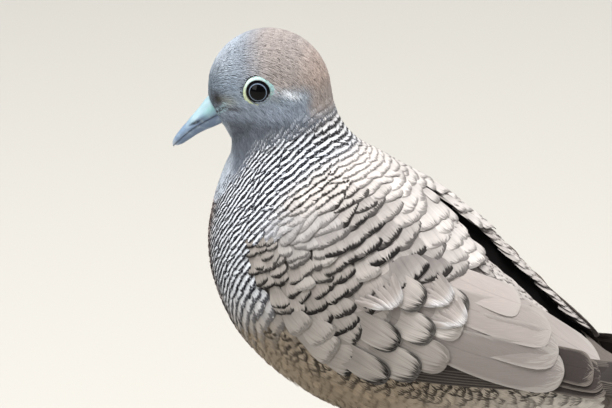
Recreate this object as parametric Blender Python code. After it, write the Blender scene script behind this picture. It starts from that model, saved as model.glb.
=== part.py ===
"""A zebra dove that stands on the ground, at life size, for Blender 4.5.

The bird faces -X, its left side is -Y and the floor is z = 0. Sizes are written in millimetres
and angles in degrees, and the helpers turn them into metres and radians. The coat is one lofted
surface from the bill's root to the tail's root, parted into head, neck and trunk; the wings are
shells laid into it, and the bill, eyes, legs and tail are pieces of their own.
"""

import math

import bmesh
import bpy
from mathutils import Matrix, Vector

MM = 0.001
GAP = 0.3

# Head: a ball, cut off in front where the bill leaves it and below at the throat.
HEAD_CENTRE = (-73.0, 90.1)
HEAD_RADIUS = 12.3
HEAD_HALF_WIDTH = 9.9
HEAD_STEPS = 8
BROW_ANGLE, NAPE_ANGLE = 185.0, -6.0
CHIN, THROAT = (-82.0, 83.4), (-80.2, 79.6)
HEAD_YAW = -9.0
NECK_AXIS_X = -68.0

# Neck and trunk, outside the feathers: name, back (x, z), front or belly (x, z), half width.
STATIONS = (
    ("nape", (-59.9, 87.0), (-80.5, 77.2), 10.2),
    ("neck", (-57.6, 82.4), (-81.5, 75.0), 11.3),
    ("hindneck", (-54.2, 78.9), (-82.7, 71.8), 14.0),
    ("mantle", (-49.6, 76.2), (-84.2, 66.6), 17.8),
    ("shoulder", (-43.4, 71.8), (-85.2, 59.4), 21.8),
    ("breast", (-36.7, 66.6), (-84.0, 51.0), 24.6),
    ("back", (-29.7, 60.4), (-79.2, 40.7), 25.4),
    ("belly", (-22.9, 53.6), (-69.3, 30.9), 24.8),
    ("thighs", (-16.7, 47.0), (-54.8, 23.3), 22.6),
    ("rump", (-10.9, 40.8), (-36.9, 19.1), 18.8),
    ("vent", (-5.3, 35.4), (-18.2, 18.8), 14.4),
    ("tail_root", (0.8, 31.6), (-4.6, 20.6), 10.6),
    ("tail_coverts", (9.5, 29.4), (8.2, 22.8), 8.6),
)
NAPE, MANTLE, SHOULDER, VENT = (HEAD_STEPS + k for k in (0, 3, 4, 10))
LAST = HEAD_STEPS + len(STATIONS) - 1
FULLNESS = 2.15
SADDLE_LIFT, SADDLE_ANGLE, SADDLE_SPREAD = 1.9, 30.0, 21.0
COAT_SIDES = 28
RINGS_PER_STATION = 1.5

# Folded wings: the part of the coat that each one covers, by station and by angle from the back.
WING_FRONT, WING_PARTING, WING_END = SHOULDER - 0.1, SHOULDER + 3.6, VENT + 0.5
WING_THICKNESS = 2.4
WING_PROUD = 1.2
BEND_TOP, SCAPULAR_EDGE, INNER_EDGE, TIP_INNER_EDGE = 94.0, 73.0, 3.0, 13.0
LOWER_EDGE = (131.0, 126.0, 113.0, 90.0, 68.0, 52.0)

# Quills of the folded wing, below the tertials: a blade on the flank, then free to its tip.
QUILLS_FRONT, QUILLS_LEAVE, QUILLS_LOWER = SHOULDER + 3.2, VENT - 0.2, (107.0, 68.0)
QUILL_TIP_ROWS = (((3.0, 10.2, 31.6), (1.0, 11.0, 28.9)), ((13.0, 8.4, 30.6), (12.0, 8.9, 28.6)),
                  ((20.0, 7.0, 29.6), (19.6, 7.3, 28.7)))
QUILL_THICKNESS = 1.1

# Tail: three layers of feathers, upper to lower, as length and half width.
TAIL_START, TAIL_HEIGHT, TAIL_DROOP = 9.9, 27.9, 9.0
TAIL_LAYERS = (("tail_middle", 83.5, 6.4), ("tail_inner", 72.0, 8.4), ("tail_outer", 57.0, 9.6))
TAIL_LAYER_THICKNESS = 1.0
TAIL_ARCH = 1.2

# Bill, along its own axis from the root: reach, height of culmen, depth of lower edge, half width.
BILL_ROOT = (-84.2, 85.6)
BILL_PITCH = 38.0
BILL_LENGTH = 11.0
UPPER_BILL = ((0.0, 2.7, 2.5), (0.25, 2.3, 2.25), (0.5, 1.75, 1.6), (0.75, 1.6, 1.3), (0.94, 0.95, 0.85))
LOWER_BILL = ((0.0, 3.0, 2.3), (0.25, 2.4, 2.0), (0.5, 1.75, 1.4), (0.75, 1.3, 1.1), (0.93, 0.7, 0.6))
BILL_TIP_DROP = 0.9
NOSTRIL_REACH, NOSTRIL_HEIGHT, NOSTRIL_LENGTH, NOSTRIL_RADIUS = 4.3, 0.95, 2.6, 0.38

# Eyes: balls set into the head so that a disc of about 2.6 mm radius shows.
EYE_FORWARD, EYE_UP, EYE_OUT, EYE_RADIUS = 0.9, 1.3, 6.75, 3.9

# Legs, seen from the side: ankle and foot (x, z), and the distance from the middle.
ANKLE, FOOT = (-36.5, 16.2), (-42.5, 2.2)
LEG_OUT, LEG_TOE_OUT = 10.5, 8.0
THIGH_TOP = (-44.0, 31.0)
THIGH_RADII = (9.0, 8.2, 6.0, 3.2, 1.6)
SHANK_RADIUS, KNUCKLE_RADIUS, PAD_RADIUS = 1.15, 1.5, 2.7
TOE_RADII = (0.75, 0.95, 0.8, 0.85, 0.6)
TOES = (("hind", 180.0, 7.5), ("inner", 37.0, 10.0), ("middle", 0.0, 14.0), ("outer", -37.0, 11.0))
CLAW_LENGTH, CLAW_RADIUS, CLAW_DROP = 3.4, 0.55, 1.0

COLOURS = {
    "coat": ((0.44, 0.40, 0.36), 0.85),
    "wing": ((0.46, 0.41, 0.37), 0.8),
    "flight": ((0.20, 0.17, 0.15), 0.75),
    "bill": ((0.42, 0.53, 0.60), 0.45),
    "eye": ((0.01, 0.01, 0.012), 0.08),
    "leg": ((0.50, 0.25, 0.25), 0.6),
    "claw": ((0.10, 0.08, 0.08), 0.4),
}


def material(name):
    """The named finish, made the first time it is asked for."""
    made = bpy.data.materials.get(name)
    if made is None:
        colour, roughness = COLOURS[name]
        made = bpy.data.materials.new(name)
        made.use_nodes = True
        shader = made.node_tree.nodes["Principled BSDF"]
        shader.inputs["Base Color"].default_value = (*colour, 1.0)
        shader.inputs["Roughness"].default_value = roughness
        made.diffuse_color = (*colour, 1.0)
    return made


def add_object(name, bm, finish):
    """Closes off a bmesh drawn in millimetres as a named object in metres."""
    bmesh.ops.scale(bm, vec=(MM, MM, MM), verts=bm.verts)
    bmesh.ops.recalc_face_normals(bm, faces=bm.faces)
    bmesh.ops.triangulate(bm, faces=bm.faces)
    mesh = bpy.data.meshes.new(name)
    bm.to_mesh(mesh)
    bm.free()
    mesh.shade_smooth()
    mesh.set_sharp_from_angle(angle=math.radians(50))
    obj = bpy.data.objects.new(name, mesh)
    obj.data.materials.append(material(finish))
    bpy.context.scene.collection.objects.link(obj)
    return obj


def loft(rings):
    """A closed bmesh through rings of points, each with the same number of points, capped at both ends."""
    bm = bmesh.new()
    made = [[bm.verts.new(point) for point in ring] for ring in rings]
    count = len(made[0])
    for ring, following in zip(made, made[1:]):
        for k in range(count):
            after = (k + 1) % count
            bm.faces.new((ring[k], ring[after], following[after], following[k]))
    for end in (made[0], made[-1]):
        middle = bm.verts.new(sum((v.co for v in end), Vector()) / count)
        for k in range(count):
            bm.faces.new((end[k], end[(k + 1) % count], middle))
    return bm


def tube_rings(path, radii, sides, floor=None):
    """Round rings square to a path. A floor flattens what would lie below it."""
    rings = []
    for k, (centre, radius) in enumerate(zip(path, radii)):
        along = (path[min(k + 1, len(path) - 1)] - path[max(k - 1, 0)]).normalized()
        side = along.cross(Vector((0, 0, 1)) if abs(along.z) < 0.9 else Vector((0, 1, 0))).normalized()
        up = side.cross(along)
        ring = []
        for j in range(sides):
            angle = math.tau * (j + 0.5) / sides
            point = centre + radius * (side * math.cos(angle) + up * math.sin(angle))
            if floor is not None:
                point.z = max(point.z, floor)
            ring.append(point)
        rings.append(ring)
    return rings


def eased(low, high, value):
    """0 below low, 1 above high, and a smooth step between."""
    share = min(1.0, max(0.0, (value - low) / (high - low)))
    return share * share * (3 - 2 * share)


def spline(values, place):
    """The Catmull-Rom curve through a list of vectors, at a place counted in list items."""
    k = min(int(place), len(values) - 2)
    share = place - k
    before, start, end, after = (values[min(max(k + step, 0), len(values) - 1)] for step in (-1, 0, 1, 2))
    return 0.5 * (
        2 * start
        + (end - before) * share
        + (2 * before - 5 * start + 4 * end - after) * share**2
        + (3 * start - before - 3 * end + after) * share**3
    )


def head_station(share):
    """The slice of the head's ball through the throat: share 0 is the bill's root and 1 the nape."""
    angle = math.radians(BROW_ANGLE + (NAPE_ANGLE - BROW_ANGLE) * share)
    centre = Vector(HEAD_CENTRE)
    back = centre + HEAD_RADIUS * Vector((math.cos(angle), math.sin(angle)))
    front = Vector(CHIN).lerp(Vector(THROAT), share**0.7)
    across = (front - back).normalized()
    offset = (centre - back).cross(across)
    width = HEAD_HALF_WIDTH * math.sqrt(1 - min(0.86, abs(offset) / HEAD_RADIUS) ** 2)
    if share > 0.5:
        width = max(width, HEAD_HALF_WIDTH)
    return Vector((*back, *front, width)[:4]), width


def coat_stations():
    """Every station as back and front points, and its half width, from the bill's root to the tail's."""
    ends, widths = [], []
    for k in range(HEAD_STEPS):
        points, width = head_station(k / HEAD_STEPS)
        ends.append(points)
        widths.append(Vector((width, 0)))
    for _, back, front, width in STATIONS:
        ends.append(Vector((*back, *front)))
        widths.append(Vector((width, 0)))
    return ends, widths


ENDS, WIDTHS = coat_stations()


def turned(point, share=1.0):
    """A point turned with the head about the neck, or with a share of that turn."""
    axis = Vector((NECK_AXIS_X, 0, 0))
    return Matrix.Rotation(math.radians(HEAD_YAW) * share, 3, "Z") @ (point - axis) + axis


def coat_shape(place, angle):
    """The outside of the feathers at a station and an angle from the back, positive on the left."""
    ends = spline(ENDS, place)
    half_width = spline(WIDTHS, place).x
    back, front = Vector((ends[0], 0, ends[1])), Vector((ends[2], 0, ends[3]))
    power = 2 / FULLNESS
    cosine, sine = math.cos(math.radians(angle)), math.sin(math.radians(angle))
    along = math.copysign(abs(cosine) ** power, cosine)
    aside = math.copysign(abs(sine) ** power, sine)
    point = (back + front) / 2 + (back - front) / 2 * along
    point.y = -half_width * aside
    return turned(point, 1 - eased(NAPE - 1, SHOULDER, place))


def saddle(place, angle):
    """How much the folded wings round the coat up on each side of the furrow between them."""
    off = (abs(angle) - SADDLE_ANGLE) / SADDLE_SPREAD
    along = eased(MANTLE, SHOULDER + 1.5, place) * (1 - 0.5 * eased(SHOULDER + 2, VENT - 1, place))
    along *= 1 - eased(VENT - 0.5, VENT + 1.2, place)
    return SADDLE_LIFT * math.exp(-off * off) * along


def coat_point(place, angle, lift=0.0):
    """A point of the coat moved out along the surface's normal by lift."""
    point = coat_shape(place, angle)
    lift += saddle(place, angle)
    if lift:
        step = 0.05
        forward = coat_shape(min(place + step, LAST), angle) - coat_shape(max(place - step, 0), angle)
        around = coat_shape(place, angle + 20 * step) - coat_shape(place, angle - 20 * step)
        normal = around.cross(forward).normalized()
        point = point + normal * lift
    return point


def furrow_edge(place):
    """The angle at which a folded wing ends beside the furrow along the back."""
    return INNER_EDGE + (TIP_INNER_EDGE - INNER_EDGE) * eased(WING_FRONT + 1.6, WING_FRONT + 5.3, place)


def wing_edges(place):
    """The angles of a folded wing's upper and lower edge at a station."""
    share = (place - WING_FRONT) / (WING_END - WING_FRONT)
    scapular = BEND_TOP + (SCAPULAR_EDGE - BEND_TOP) * min(1.0, share / 0.24)
    top = scapular + (furrow_edge(place) - scapular) * eased(0.19, 0.39, share)
    lower = [Vector((angle, 0)) for angle in LOWER_EDGE]
    return top, spline(lower, max(0.0, share) * (len(lower) - 1)).x


def coat_piece(name, start, end, lift=0.0):
    """One length of the coat as a closed solid, between two stations."""
    count = max(2, round((end - start) * RINGS_PER_STATION)) + 1
    rings = []
    for k in range(count):
        place = start + (end - start) * k / (count - 1)
        angles = (360 * j / COAT_SIDES for j in range(COAT_SIDES))
        rings.append([coat_point(place, (a + 180) % 360 - 180, lift) for a in angles])
    return add_object(name, loft(rings), "coat")


def plate(outer, inner):
    """A closed bmesh between two sheets of points that have the same rows and columns."""
    bm = bmesh.new()
    tops, unders = ([[bm.verts.new(point) for point in row] for row in sheet] for sheet in (outer, inner))
    rows, columns = len(tops), len(tops[0])
    for k in range(rows - 1):
        for j in range(columns - 1):
            bm.faces.new((tops[k][j], tops[k][j + 1], tops[k + 1][j + 1], tops[k + 1][j]))
            bm.faces.new((unders[k][j], unders[k + 1][j], unders[k + 1][j + 1], unders[k][j + 1]))
    rim = [(k, 0) for k in range(rows)] + [(rows - 1, j) for j in range(1, columns)]
    rim += [(k, columns - 1) for k in range(rows - 2, -1, -1)] + [(0, j) for j in range(columns - 2, 0, -1)]
    for (k, j), (m, n) in zip(rim, rim[1:] + rim[:1]):
        bm.faces.new((tops[k][j], tops[m][n], unders[m][n], unders[k][j]))
    return bm


def steps(start, end, count):
    """Evenly spaced values from start to end."""
    return [start + (end - start) * k / (count - 1) for k in range(count)]


def wing_plate(side, places, grown=0.0):
    """A folded wing's cover over some stations. Growing it gives the tool for its bed and the furrow."""
    outer, inner = [], []
    for place in places:
        inside = min(max(place, WING_FRONT), WING_END)
        top, bottom = wing_edges(inside)
        if grown:
            furrow = (furrow_edge(inside) + 2) * eased(WING_FRONT + 1.6, WING_FRONT + 2.4, inside)
            top, bottom = top - 4 * grown - furrow, bottom + 4 * grown
        rear = eased(WING_PARTING - 1.5, WING_END, inside)
        outer.append([])
        inner.append([])
        for share in steps(0, 1, 9):
            angle = side * (top + (bottom - top) * share)
            proud = WING_PROUD * max(share**2 * eased(WING_FRONT, WING_PARTING, inside), rear)
            outer[-1].append(coat_point(place, angle, proud + 8 * grown))
            inner[-1].append(coat_point(place, angle, proud - WING_THICKNESS - grown))
    return plate(outer, inner)


def quill_sheet(side, lift):
    """One face of the quills' blade: over the flank, at a height above the coat, then free to its tip."""
    rows = []
    for place, lower in zip(steps(QUILLS_FRONT, QUILLS_LEAVE, 9), steps(*QUILLS_LOWER, 9)):
        upper = wing_edges(place)[1] + 1.4
        rows.append([coat_point(place, side * angle, lift) for angle in steps(upper, lower, 5)])
    for row in QUILL_TIP_ROWS:
        upper, lower = (Vector((x, -side * (y + lift), z)) for x, y, z in row)
        rows.append([upper.lerp(lower, share) for share in steps(0, 1, 5)])
    places = [*range(8), *steps(8, len(rows) - 1, 7)]
    return [[spline([row[j] for row in rows], place) for j in range(5)] for place in places]


def quill_plate(side):
    """The blade of quills, lying on the flank."""
    return plate(quill_sheet(side, GAP + QUILL_THICKNESS), quill_sheet(side, GAP + 0.1))


def make_wings(trunk):
    """Each folded wing: the covert-clad arm, the tertials behind it and the quills below."""
    parting = 0.02
    front, rear = steps(WING_FRONT, WING_PARTING, 12), steps(WING_PARTING, WING_END, 10)
    bed = [front[0] - 0.07, *front[1:], *rear[1:-1], rear[-1] + 0.07]
    front[-1] -= parting
    rear[0] += parting
    for side, name in ((1, "left"), (-1, "right")):
        add_object(f"wing_{name}", wing_plate(side, front), "wing")
        add_object(f"tertials_{name}", wing_plate(side, rear), "wing")
        add_object(f"quills_{name}", quill_plate(side), "flight")
        cut(trunk, cutter(f"wing_bed_{name}", wing_plate(side, bed, GAP + 0.2)))


def make_tail():
    """Three stacked layers of tail feathers, each shorter and wider than the one above."""
    pitch = Matrix.Rotation(math.radians(TAIL_DROOP), 3, "Y")
    root = Vector((TAIL_START, 0, TAIL_HEIGHT))
    sides = 12
    for layer, (name, length, half_width) in enumerate(TAIL_LAYERS):
        top = -layer * (TAIL_LAYER_THICKNESS + GAP)
        rings = []
        for share in (0, 0.12, 0.3, 0.5, 0.68, 0.8, 0.89, 0.95, 0.985, 1.0):
            narrowing = 0.75 + 0.25 * eased(0, 0.35, share)
            rounding = math.sqrt(max(0.03, 1 - eased(0.72, 1.02, share)))
            width = half_width * narrowing * rounding
            thickness = TAIL_LAYER_THICKNESS * (1 - 0.3 * share)
            ring = []
            for j in range(sides):
                angle = math.tau * j / sides
                across = math.cos(angle)
                height = thickness / 2 * math.sin(angle) - thickness / 2 - TAIL_ARCH * (across * width / 9.6) ** 2
                ring.append(root + pitch @ Vector((length * share, width * across, top + height)))
            rings.append(ring)
        add_object(name, loft(rings), "flight")


def bill_matrix():
    """Bill coordinates, with x forward from the root and z up to the culmen, to the bird's."""
    root = Vector((BILL_ROOT[0], 0, BILL_ROOT[1]))
    forward = Matrix.Rotation(math.radians(-BILL_PITCH), 3, "Y") @ Vector((-1, 0, 0))
    up = Vector((0, 1, 0)).cross(forward) * -1
    if up.z < 0:
        up = -up
    return root, forward, up


def on_bill(reach, aside, height):
    """A point given along, across and above the bill's axis."""
    root, forward, up = bill_matrix()
    return turned(root + forward * reach + up * height + Vector((0, aside, 0)))


def make_bill():
    """Both halves of the bill, arched outwards and flat where they meet, and the nostrils."""
    arch = 8
    for name, rows, sign in (("bill_upper", UPPER_BILL, 1), ("bill_lower", LOWER_BILL, -1)):
        rings = []
        for place in steps(0, len(rows) - 1, 11):
            share, height, half_width = spline([Vector(row) for row in rows], place)
            droop = BILL_TIP_DROP * eased(0.55, 1.0, share) ** 1.5
            reach = GAP + share * BILL_LENGTH
            ring = []
            for j in range(arch + 1):
                angle = math.pi * j / arch
                ring.append(on_bill(reach, half_width * math.cos(angle),
                                    sign * (GAP / 2 + 0.12 + height * math.sin(angle)) - droop))
            for j in range(1, 4):
                ring.append(on_bill(reach, half_width * (j / 2 - 1), sign * GAP / 2 - droop))
            rings.append(ring)
        if sign > 0:
            hook = [point + (on_bill(0.75, 0, -0.75) - on_bill(0, 0, 0)) for point in rings[-1]]
            middle = sum(hook, Vector()) / len(hook)
            rings.append([middle.lerp(point, 0.35) for point in hook])
        bill = add_object(name, loft(rings), "bill")
        if sign > 0:
            for side in (1, -1):
                cut(bill, nostril(side))


def nostril(side):
    """A slanting slot cutter through one side of the upper bill."""
    inner, outer = 0.9, 3.0
    reach = NOSTRIL_REACH
    back, front = (on_bill(reach + step * NOSTRIL_LENGTH / 2, 0, NOSTRIL_HEIGHT - 0.16 * step) for step in (-1, 1))
    across = turned(Vector((0, -side, 0))) - turned(Vector())
    up = across.cross((front - back).normalized()).normalized()
    rings = []
    for out in (inner, outer):
        ring = []
        for centre, start in ((back, 90), (front, 270)):
            for k in range(5):
                angle = math.radians(start + 45 * k)
                along = (front - back).normalized()
                ring.append(centre + across * out
                            + NOSTRIL_RADIUS * (along * math.cos(angle) + up * math.sin(angle)))
        rings.append(ring)
    return cutter("nostril_cutter", loft(rings))


def cutter(name, bm):
    """An object that only cuts another."""
    obj = add_object(name, bm, "eye")
    obj.hide_render = True
    obj.display_type = "WIRE"
    return obj


def cut(obj, tool):
    """Takes the tool's volume out of an object."""
    modifier = obj.modifiers.new("cut", "BOOLEAN")
    modifier.operation = "DIFFERENCE"
    modifier.solver = "EXACT"
    modifier.object = tool


def ball(radius, centre, columns, rows):
    """A round bmesh ball with its poles along the eyes' axis."""
    bm = bmesh.new()
    bmesh.ops.create_uvsphere(bm, u_segments=columns, v_segments=rows, radius=radius)
    bmesh.ops.rotate(bm, verts=bm.verts, matrix=Matrix.Rotation(math.radians(90), 3, "X"))
    bmesh.ops.rotate(bm, verts=bm.verts, matrix=Matrix.Rotation(math.radians(HEAD_YAW), 3, "Z"))
    bmesh.ops.translate(bm, verts=bm.verts, vec=centre)
    return bm


def make_eyes(head):
    """An eyeball on each side, in a socket that clears it all round."""
    x, z = HEAD_CENTRE[0] - EYE_FORWARD, HEAD_CENTRE[1] + EYE_UP
    for side, name in ((1, "left"), (-1, "right")):
        centre = turned(Vector((x, -side * EYE_OUT, z)))
        add_object(f"eye_{name}", ball(EYE_RADIUS, centre, 16, 10), "eye")
        cut(head, cutter(f"socket_{name}", ball(EYE_RADIUS + GAP, centre, 16, 10)))


def curve_path(points, count):
    """Points along the smooth curve through a few given ones."""
    return [spline(points, place) for place in steps(0, len(points) - 1, count)]


def make_leg(side, name, swollen_trunk):
    """A leg: the feathered thigh, the scaly shank with its pad, four toes and their claws."""
    out = -side * LEG_OUT
    ankle, foot = Vector((ANKLE[0], out, ANKLE[1])), Vector((FOOT[0], out, FOOT[1]))
    top = Vector((THIGH_TOP[0], out, THIGH_TOP[1]))
    reach = len(THIGH_RADII) - 1
    path = [top.lerp(ankle + (top - ankle).normalized() * 1.9, k / reach) for k in range(reach + 1)]
    thigh = add_object(f"thigh_{name}", loft(tube_rings(path, THIGH_RADII, 14)), "coat")
    cut(thigh, swollen_trunk)

    down = (foot - ankle).normalized()
    start = ankle + (top - ankle).normalized() * 0.3
    heel = [start, ankle + down * 1.5, ankle.lerp(foot, 0.5), foot - down * 2.2, foot, Vector((foot.x, foot.y, 0))]
    radii = (SHANK_RADIUS, KNUCKLE_RADIUS, SHANK_RADIUS, SHANK_RADIUS * 1.1, PAD_RADIUS * 0.8, PAD_RADIUS)
    add_object(f"shank_{name}", loft(tube_rings(heel, radii, 10, floor=0.0)), "leg")

    for toe, bearing, length in TOES:
        heading = math.radians(180 + side * (LEG_TOE_OUT - bearing))
        forward = Vector((math.cos(heading), math.sin(heading), 0))
        root = Vector((foot.x, foot.y, 0)) + forward * (PAD_RADIUS + GAP)
        lift = TOE_RADII[0] * 0.86
        points = [root + forward * length * share + Vector((0, 0, lift * height))
                  for share, height in ((0, 1.35), (0.3, 1.1), (0.55, 0.9), (0.8, 0.85), (1.0, 0.8))]
        add_object(f"toe_{toe}_{name}", loft(tube_rings(points, TOE_RADII, 8, floor=0.0)), "leg")
        tip = root + forward * (length + GAP)
        hook = [tip + forward * CLAW_LENGTH * share + Vector((0, 0, CLAW_RADIUS + CLAW_DROP * rise))
                for share, rise in ((0, 0.1), (0.35, 0.28), (0.7, 0.05), (1.0, -0.38))]
        claw_radii = [CLAW_RADIUS * size for size in (1.0, 0.85, 0.55, 0.12)]
        add_object(f"claw_{toe}_{name}", loft(tube_rings(hook, claw_radii, 6)), "claw")


def stand_on_origin():
    """Moves the bird so that the origin is under the middle of its box, on the floor."""
    bpy.context.view_layer.update()
    shown = [obj for obj in bpy.context.scene.objects if not obj.hide_render]
    corners = [obj.matrix_world @ Vector(corner) for obj in shown for corner in obj.bound_box]
    middle = [(min(c[axis] for c in corners) + max(c[axis] for c in corners)) / 2 for axis in (0, 1)]
    for obj in bpy.context.scene.objects:
        obj.location -= Vector((*middle, min(c.z for c in corners)))


def build():
    for obj in list(bpy.data.objects):
        bpy.data.objects.remove(obj)
    parting = 0.03
    head = coat_piece("head", 0, NAPE - parting)
    coat_piece("neck", NAPE + parting, MANTLE - parting)
    trunk = coat_piece("trunk", MANTLE + parting, LAST)
    make_eyes(head)
    make_bill()
    make_wings(trunk)
    make_tail()
    swollen_trunk = coat_piece("thigh_cutter", MANTLE, LAST, GAP)
    swollen_trunk.hide_render = True
    swollen_trunk.display_type = "WIRE"
    for side, name in ((1, "left"), (-1, "right")):
        make_leg(side, name, swollen_trunk)
    stand_on_origin()


build()
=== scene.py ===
import itertools
import math

import bpy
import numpy as np
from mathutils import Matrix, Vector
from mathutils.kdtree import KDTree


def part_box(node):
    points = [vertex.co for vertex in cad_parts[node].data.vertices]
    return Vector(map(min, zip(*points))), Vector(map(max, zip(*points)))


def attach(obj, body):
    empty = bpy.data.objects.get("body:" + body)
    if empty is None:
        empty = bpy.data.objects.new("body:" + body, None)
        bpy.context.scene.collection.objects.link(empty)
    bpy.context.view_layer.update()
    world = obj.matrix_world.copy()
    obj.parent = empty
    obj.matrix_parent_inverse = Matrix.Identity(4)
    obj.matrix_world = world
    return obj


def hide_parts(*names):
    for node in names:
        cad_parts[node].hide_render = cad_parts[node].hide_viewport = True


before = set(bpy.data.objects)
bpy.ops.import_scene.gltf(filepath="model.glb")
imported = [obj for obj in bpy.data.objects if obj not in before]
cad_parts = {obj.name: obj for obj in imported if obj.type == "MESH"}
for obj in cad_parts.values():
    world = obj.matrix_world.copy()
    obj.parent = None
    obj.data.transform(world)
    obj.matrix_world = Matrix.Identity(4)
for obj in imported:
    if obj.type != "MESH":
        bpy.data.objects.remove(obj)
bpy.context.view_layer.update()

# A zebra dove: one skin follows the form of the solids, and thin closed feathers are bent over it, each
# placed by its station along the body and its angle from the back. Positive angles are the bird's left.
MM = 0.001
SIDES = ((1, "left"), (-1, "right"))
rng = np.random.default_rng(7)

# ---------------------------------------------------------------------------------------------
# The bird's form, in millimetres, as in the solids: a head ball, then stations along neck and
# trunk as back (x, z), front (x, z) and half width.
HEAD_CENTRE = (-73.0, 90.1)
HEAD_RADIUS, HEAD_HALF_WIDTH, HEAD_STEPS = 12.3, 9.9, 8
BILL_ROOT_HALF_WIDTH = 2.6
BROW_ANGLE, NAPE_ANGLE = 185.0, -6.0
CHIN, THROAT = (-82.0, 83.4), (-80.2, 79.6)
HEAD_YAW, NECK_AXIS_X = -9.0, -68.0
STATIONS = (
    ("nape", (-59.9, 87.0), (-80.5, 77.2), 10.2),
    ("neck", (-57.6, 82.4), (-81.5, 75.0), 11.3),
    ("hindneck", (-54.2, 78.9), (-82.7, 71.8), 14.0),
    ("mantle", (-49.6, 76.2), (-84.2, 66.6), 17.8),
    ("shoulder", (-43.4, 71.8), (-85.2, 59.4), 21.8),
    ("breast", (-36.7, 66.6), (-84.0, 51.0), 24.6),
    ("back", (-29.7, 60.4), (-79.2, 40.7), 25.4),
    ("belly", (-22.9, 53.6), (-69.3, 30.9), 24.8),
    ("thighs", (-16.7, 47.0), (-54.8, 23.3), 22.6),
    ("rump", (-10.9, 40.8), (-36.9, 19.1), 18.8),
    ("vent", (-5.3, 35.4), (-18.2, 18.8), 14.4),
    ("tail_root", (0.8, 31.6), (-4.6, 20.6), 10.6),
    ("tail_coverts", (9.5, 29.4), (8.2, 22.8), 8.6),
)
NAPE, MANTLE, SHOULDER, VENT = (HEAD_STEPS + k for k in (0, 3, 4, 10))
LAST = HEAD_STEPS + len(STATIONS) - 1
FULLNESS = 2.15
SADDLE_LIFT, SADDLE_ANGLE, SADDLE_SPREAD = 1.9, 30.0, 21.0
WING_FRONT, WING_PARTING, WING_END = SHOULDER - 0.1, SHOULDER + 3.6, VENT + 0.5
BEND_TOP, SCAPULAR_EDGE, INNER_EDGE, TIP_INNER_EDGE = 94.0, 73.0, 3.0, 13.0
LOWER_EDGE = np.array((131.0, 126.0, 113.0, 90.0, 68.0, 52.0))[:, None]
WING_PROUD = 1.2
LEFT_WING_DROP, LEFT_WING_DIP, LEFT_RIM_ANGLE, LEFT_RIM_SPREAD = 0.85, 1.9, 11.0, 13.0
EYE_FORWARD, EYE_UP, EYE_OUT, EYE_RADIUS = 0.6, 1.8, 6.6, 3.9
EYE_X, EYE_Z = HEAD_CENTRE[0] - EYE_FORWARD, HEAD_CENTRE[1] + EYE_UP
COAT_DEPTH = 0.9
TAIL_DROOP = math.radians(9.0)

TRUNK_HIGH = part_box("trunk")[1]
TRUNK_MID = (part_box("trunk")[0][1] + TRUNK_HIGH[1]) / 2
TRUNK_END = 9.5 * MM
ORIGIN = np.array((TRUNK_HIGH[0] - TRUNK_END, TRUNK_MID, 0.0))


def eased(low, high, value):
    """0 below low, 1 above high, and a smooth step between."""
    share = np.clip((value - low) / (high - low), 0, 1)
    return share * share * (3 - 2 * share)


def unit(vectors):
    """The vectors, each scaled to a length of one."""
    return vectors / np.linalg.norm(vectors, axis=-1, keepdims=True)


def spline(values, place):
    """The Catmull-Rom curve through rows of values, at places counted in rows."""
    place = np.clip(np.asarray(place, float), 0, len(values) - 1 - 1e-6)
    k = place.astype(int)
    share = (place - k)[..., None]
    before, start, end, after = (values[np.clip(k + step, 0, len(values) - 1)] for step in (-1, 0, 1, 2))
    return 0.5 * (2 * start + (end - before) * share
                  + (2 * before - 5 * start + 4 * end - after) * share**2
                  + (3 * start - before - 3 * end + after) * share**3)


def station_table():
    """Back x, z, front x, z and half width of every station, from the bill's root to the tail's."""
    rows = []
    for k in range(HEAD_STEPS):
        share = k / HEAD_STEPS
        angle = math.radians(BROW_ANGLE + (NAPE_ANGLE - BROW_ANGLE) * share)
        centre = np.array(HEAD_CENTRE)
        back = centre + HEAD_RADIUS * np.array((math.cos(angle), math.sin(angle)))
        front = np.array(CHIN) + (np.array(THROAT) - np.array(CHIN)) * share**0.7
        across = (front - back) / np.linalg.norm(front - back)
        offset = (centre[0] - back[0]) * across[1] - (centre[1] - back[1]) * across[0]
        width = HEAD_HALF_WIDTH * math.sqrt(1 - min(0.86, abs(offset) / HEAD_RADIUS) ** 2)
        rows.append((*back, *front, max(width, HEAD_HALF_WIDTH) if share > 0.5 else width))
    rows += [(*back, *front, width) for _, back, front, width in STATIONS]
    table = np.array(rows)
    table[0, 4] = BILL_ROOT_HALF_WIDTH
    return table


TABLE = station_table()


def wrap(angle):
    """An angle in degrees from -180 to 180."""
    return (np.asarray(angle, float) + 180) % 360 - 180


def untwisted(place, angle):
    """The outside of the plumage before the head is turned, at stations and angles from the back."""
    row = spline(TABLE, place)
    back, front = row[..., 0:2], row[..., 2:4]
    power = 2 / FULLNESS
    cosine, sine = np.cos(np.radians(angle)), np.sin(np.radians(angle))
    along = np.sign(cosine) * np.abs(cosine) ** power
    aside = np.sign(sine) * np.abs(sine) ** power
    flat = (back + front) / 2 + (back - front) / 2 * along[..., None]
    return np.stack((flat[..., 0], -row[..., 4] * aside, flat[..., 1]), -1)


def turned(points, share=1.0):
    """Points turned with the head about the neck, or with a share of that turn."""
    angle = np.radians(HEAD_YAW) * share
    cosine, sine = np.cos(angle), np.sin(angle)
    x, y = points[..., 0] - NECK_AXIS_X, points[..., 1]
    return np.stack((cosine * x - sine * y + NECK_AXIS_X, sine * x + cosine * y, points[..., 2]), -1)


def bare_form(place, angle):
    """The outside of the plumage, without the swell beside the furrow."""
    return turned(untwisted(place, angle), 1 - eased(NAPE - 1, SHOULDER, place))


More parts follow.
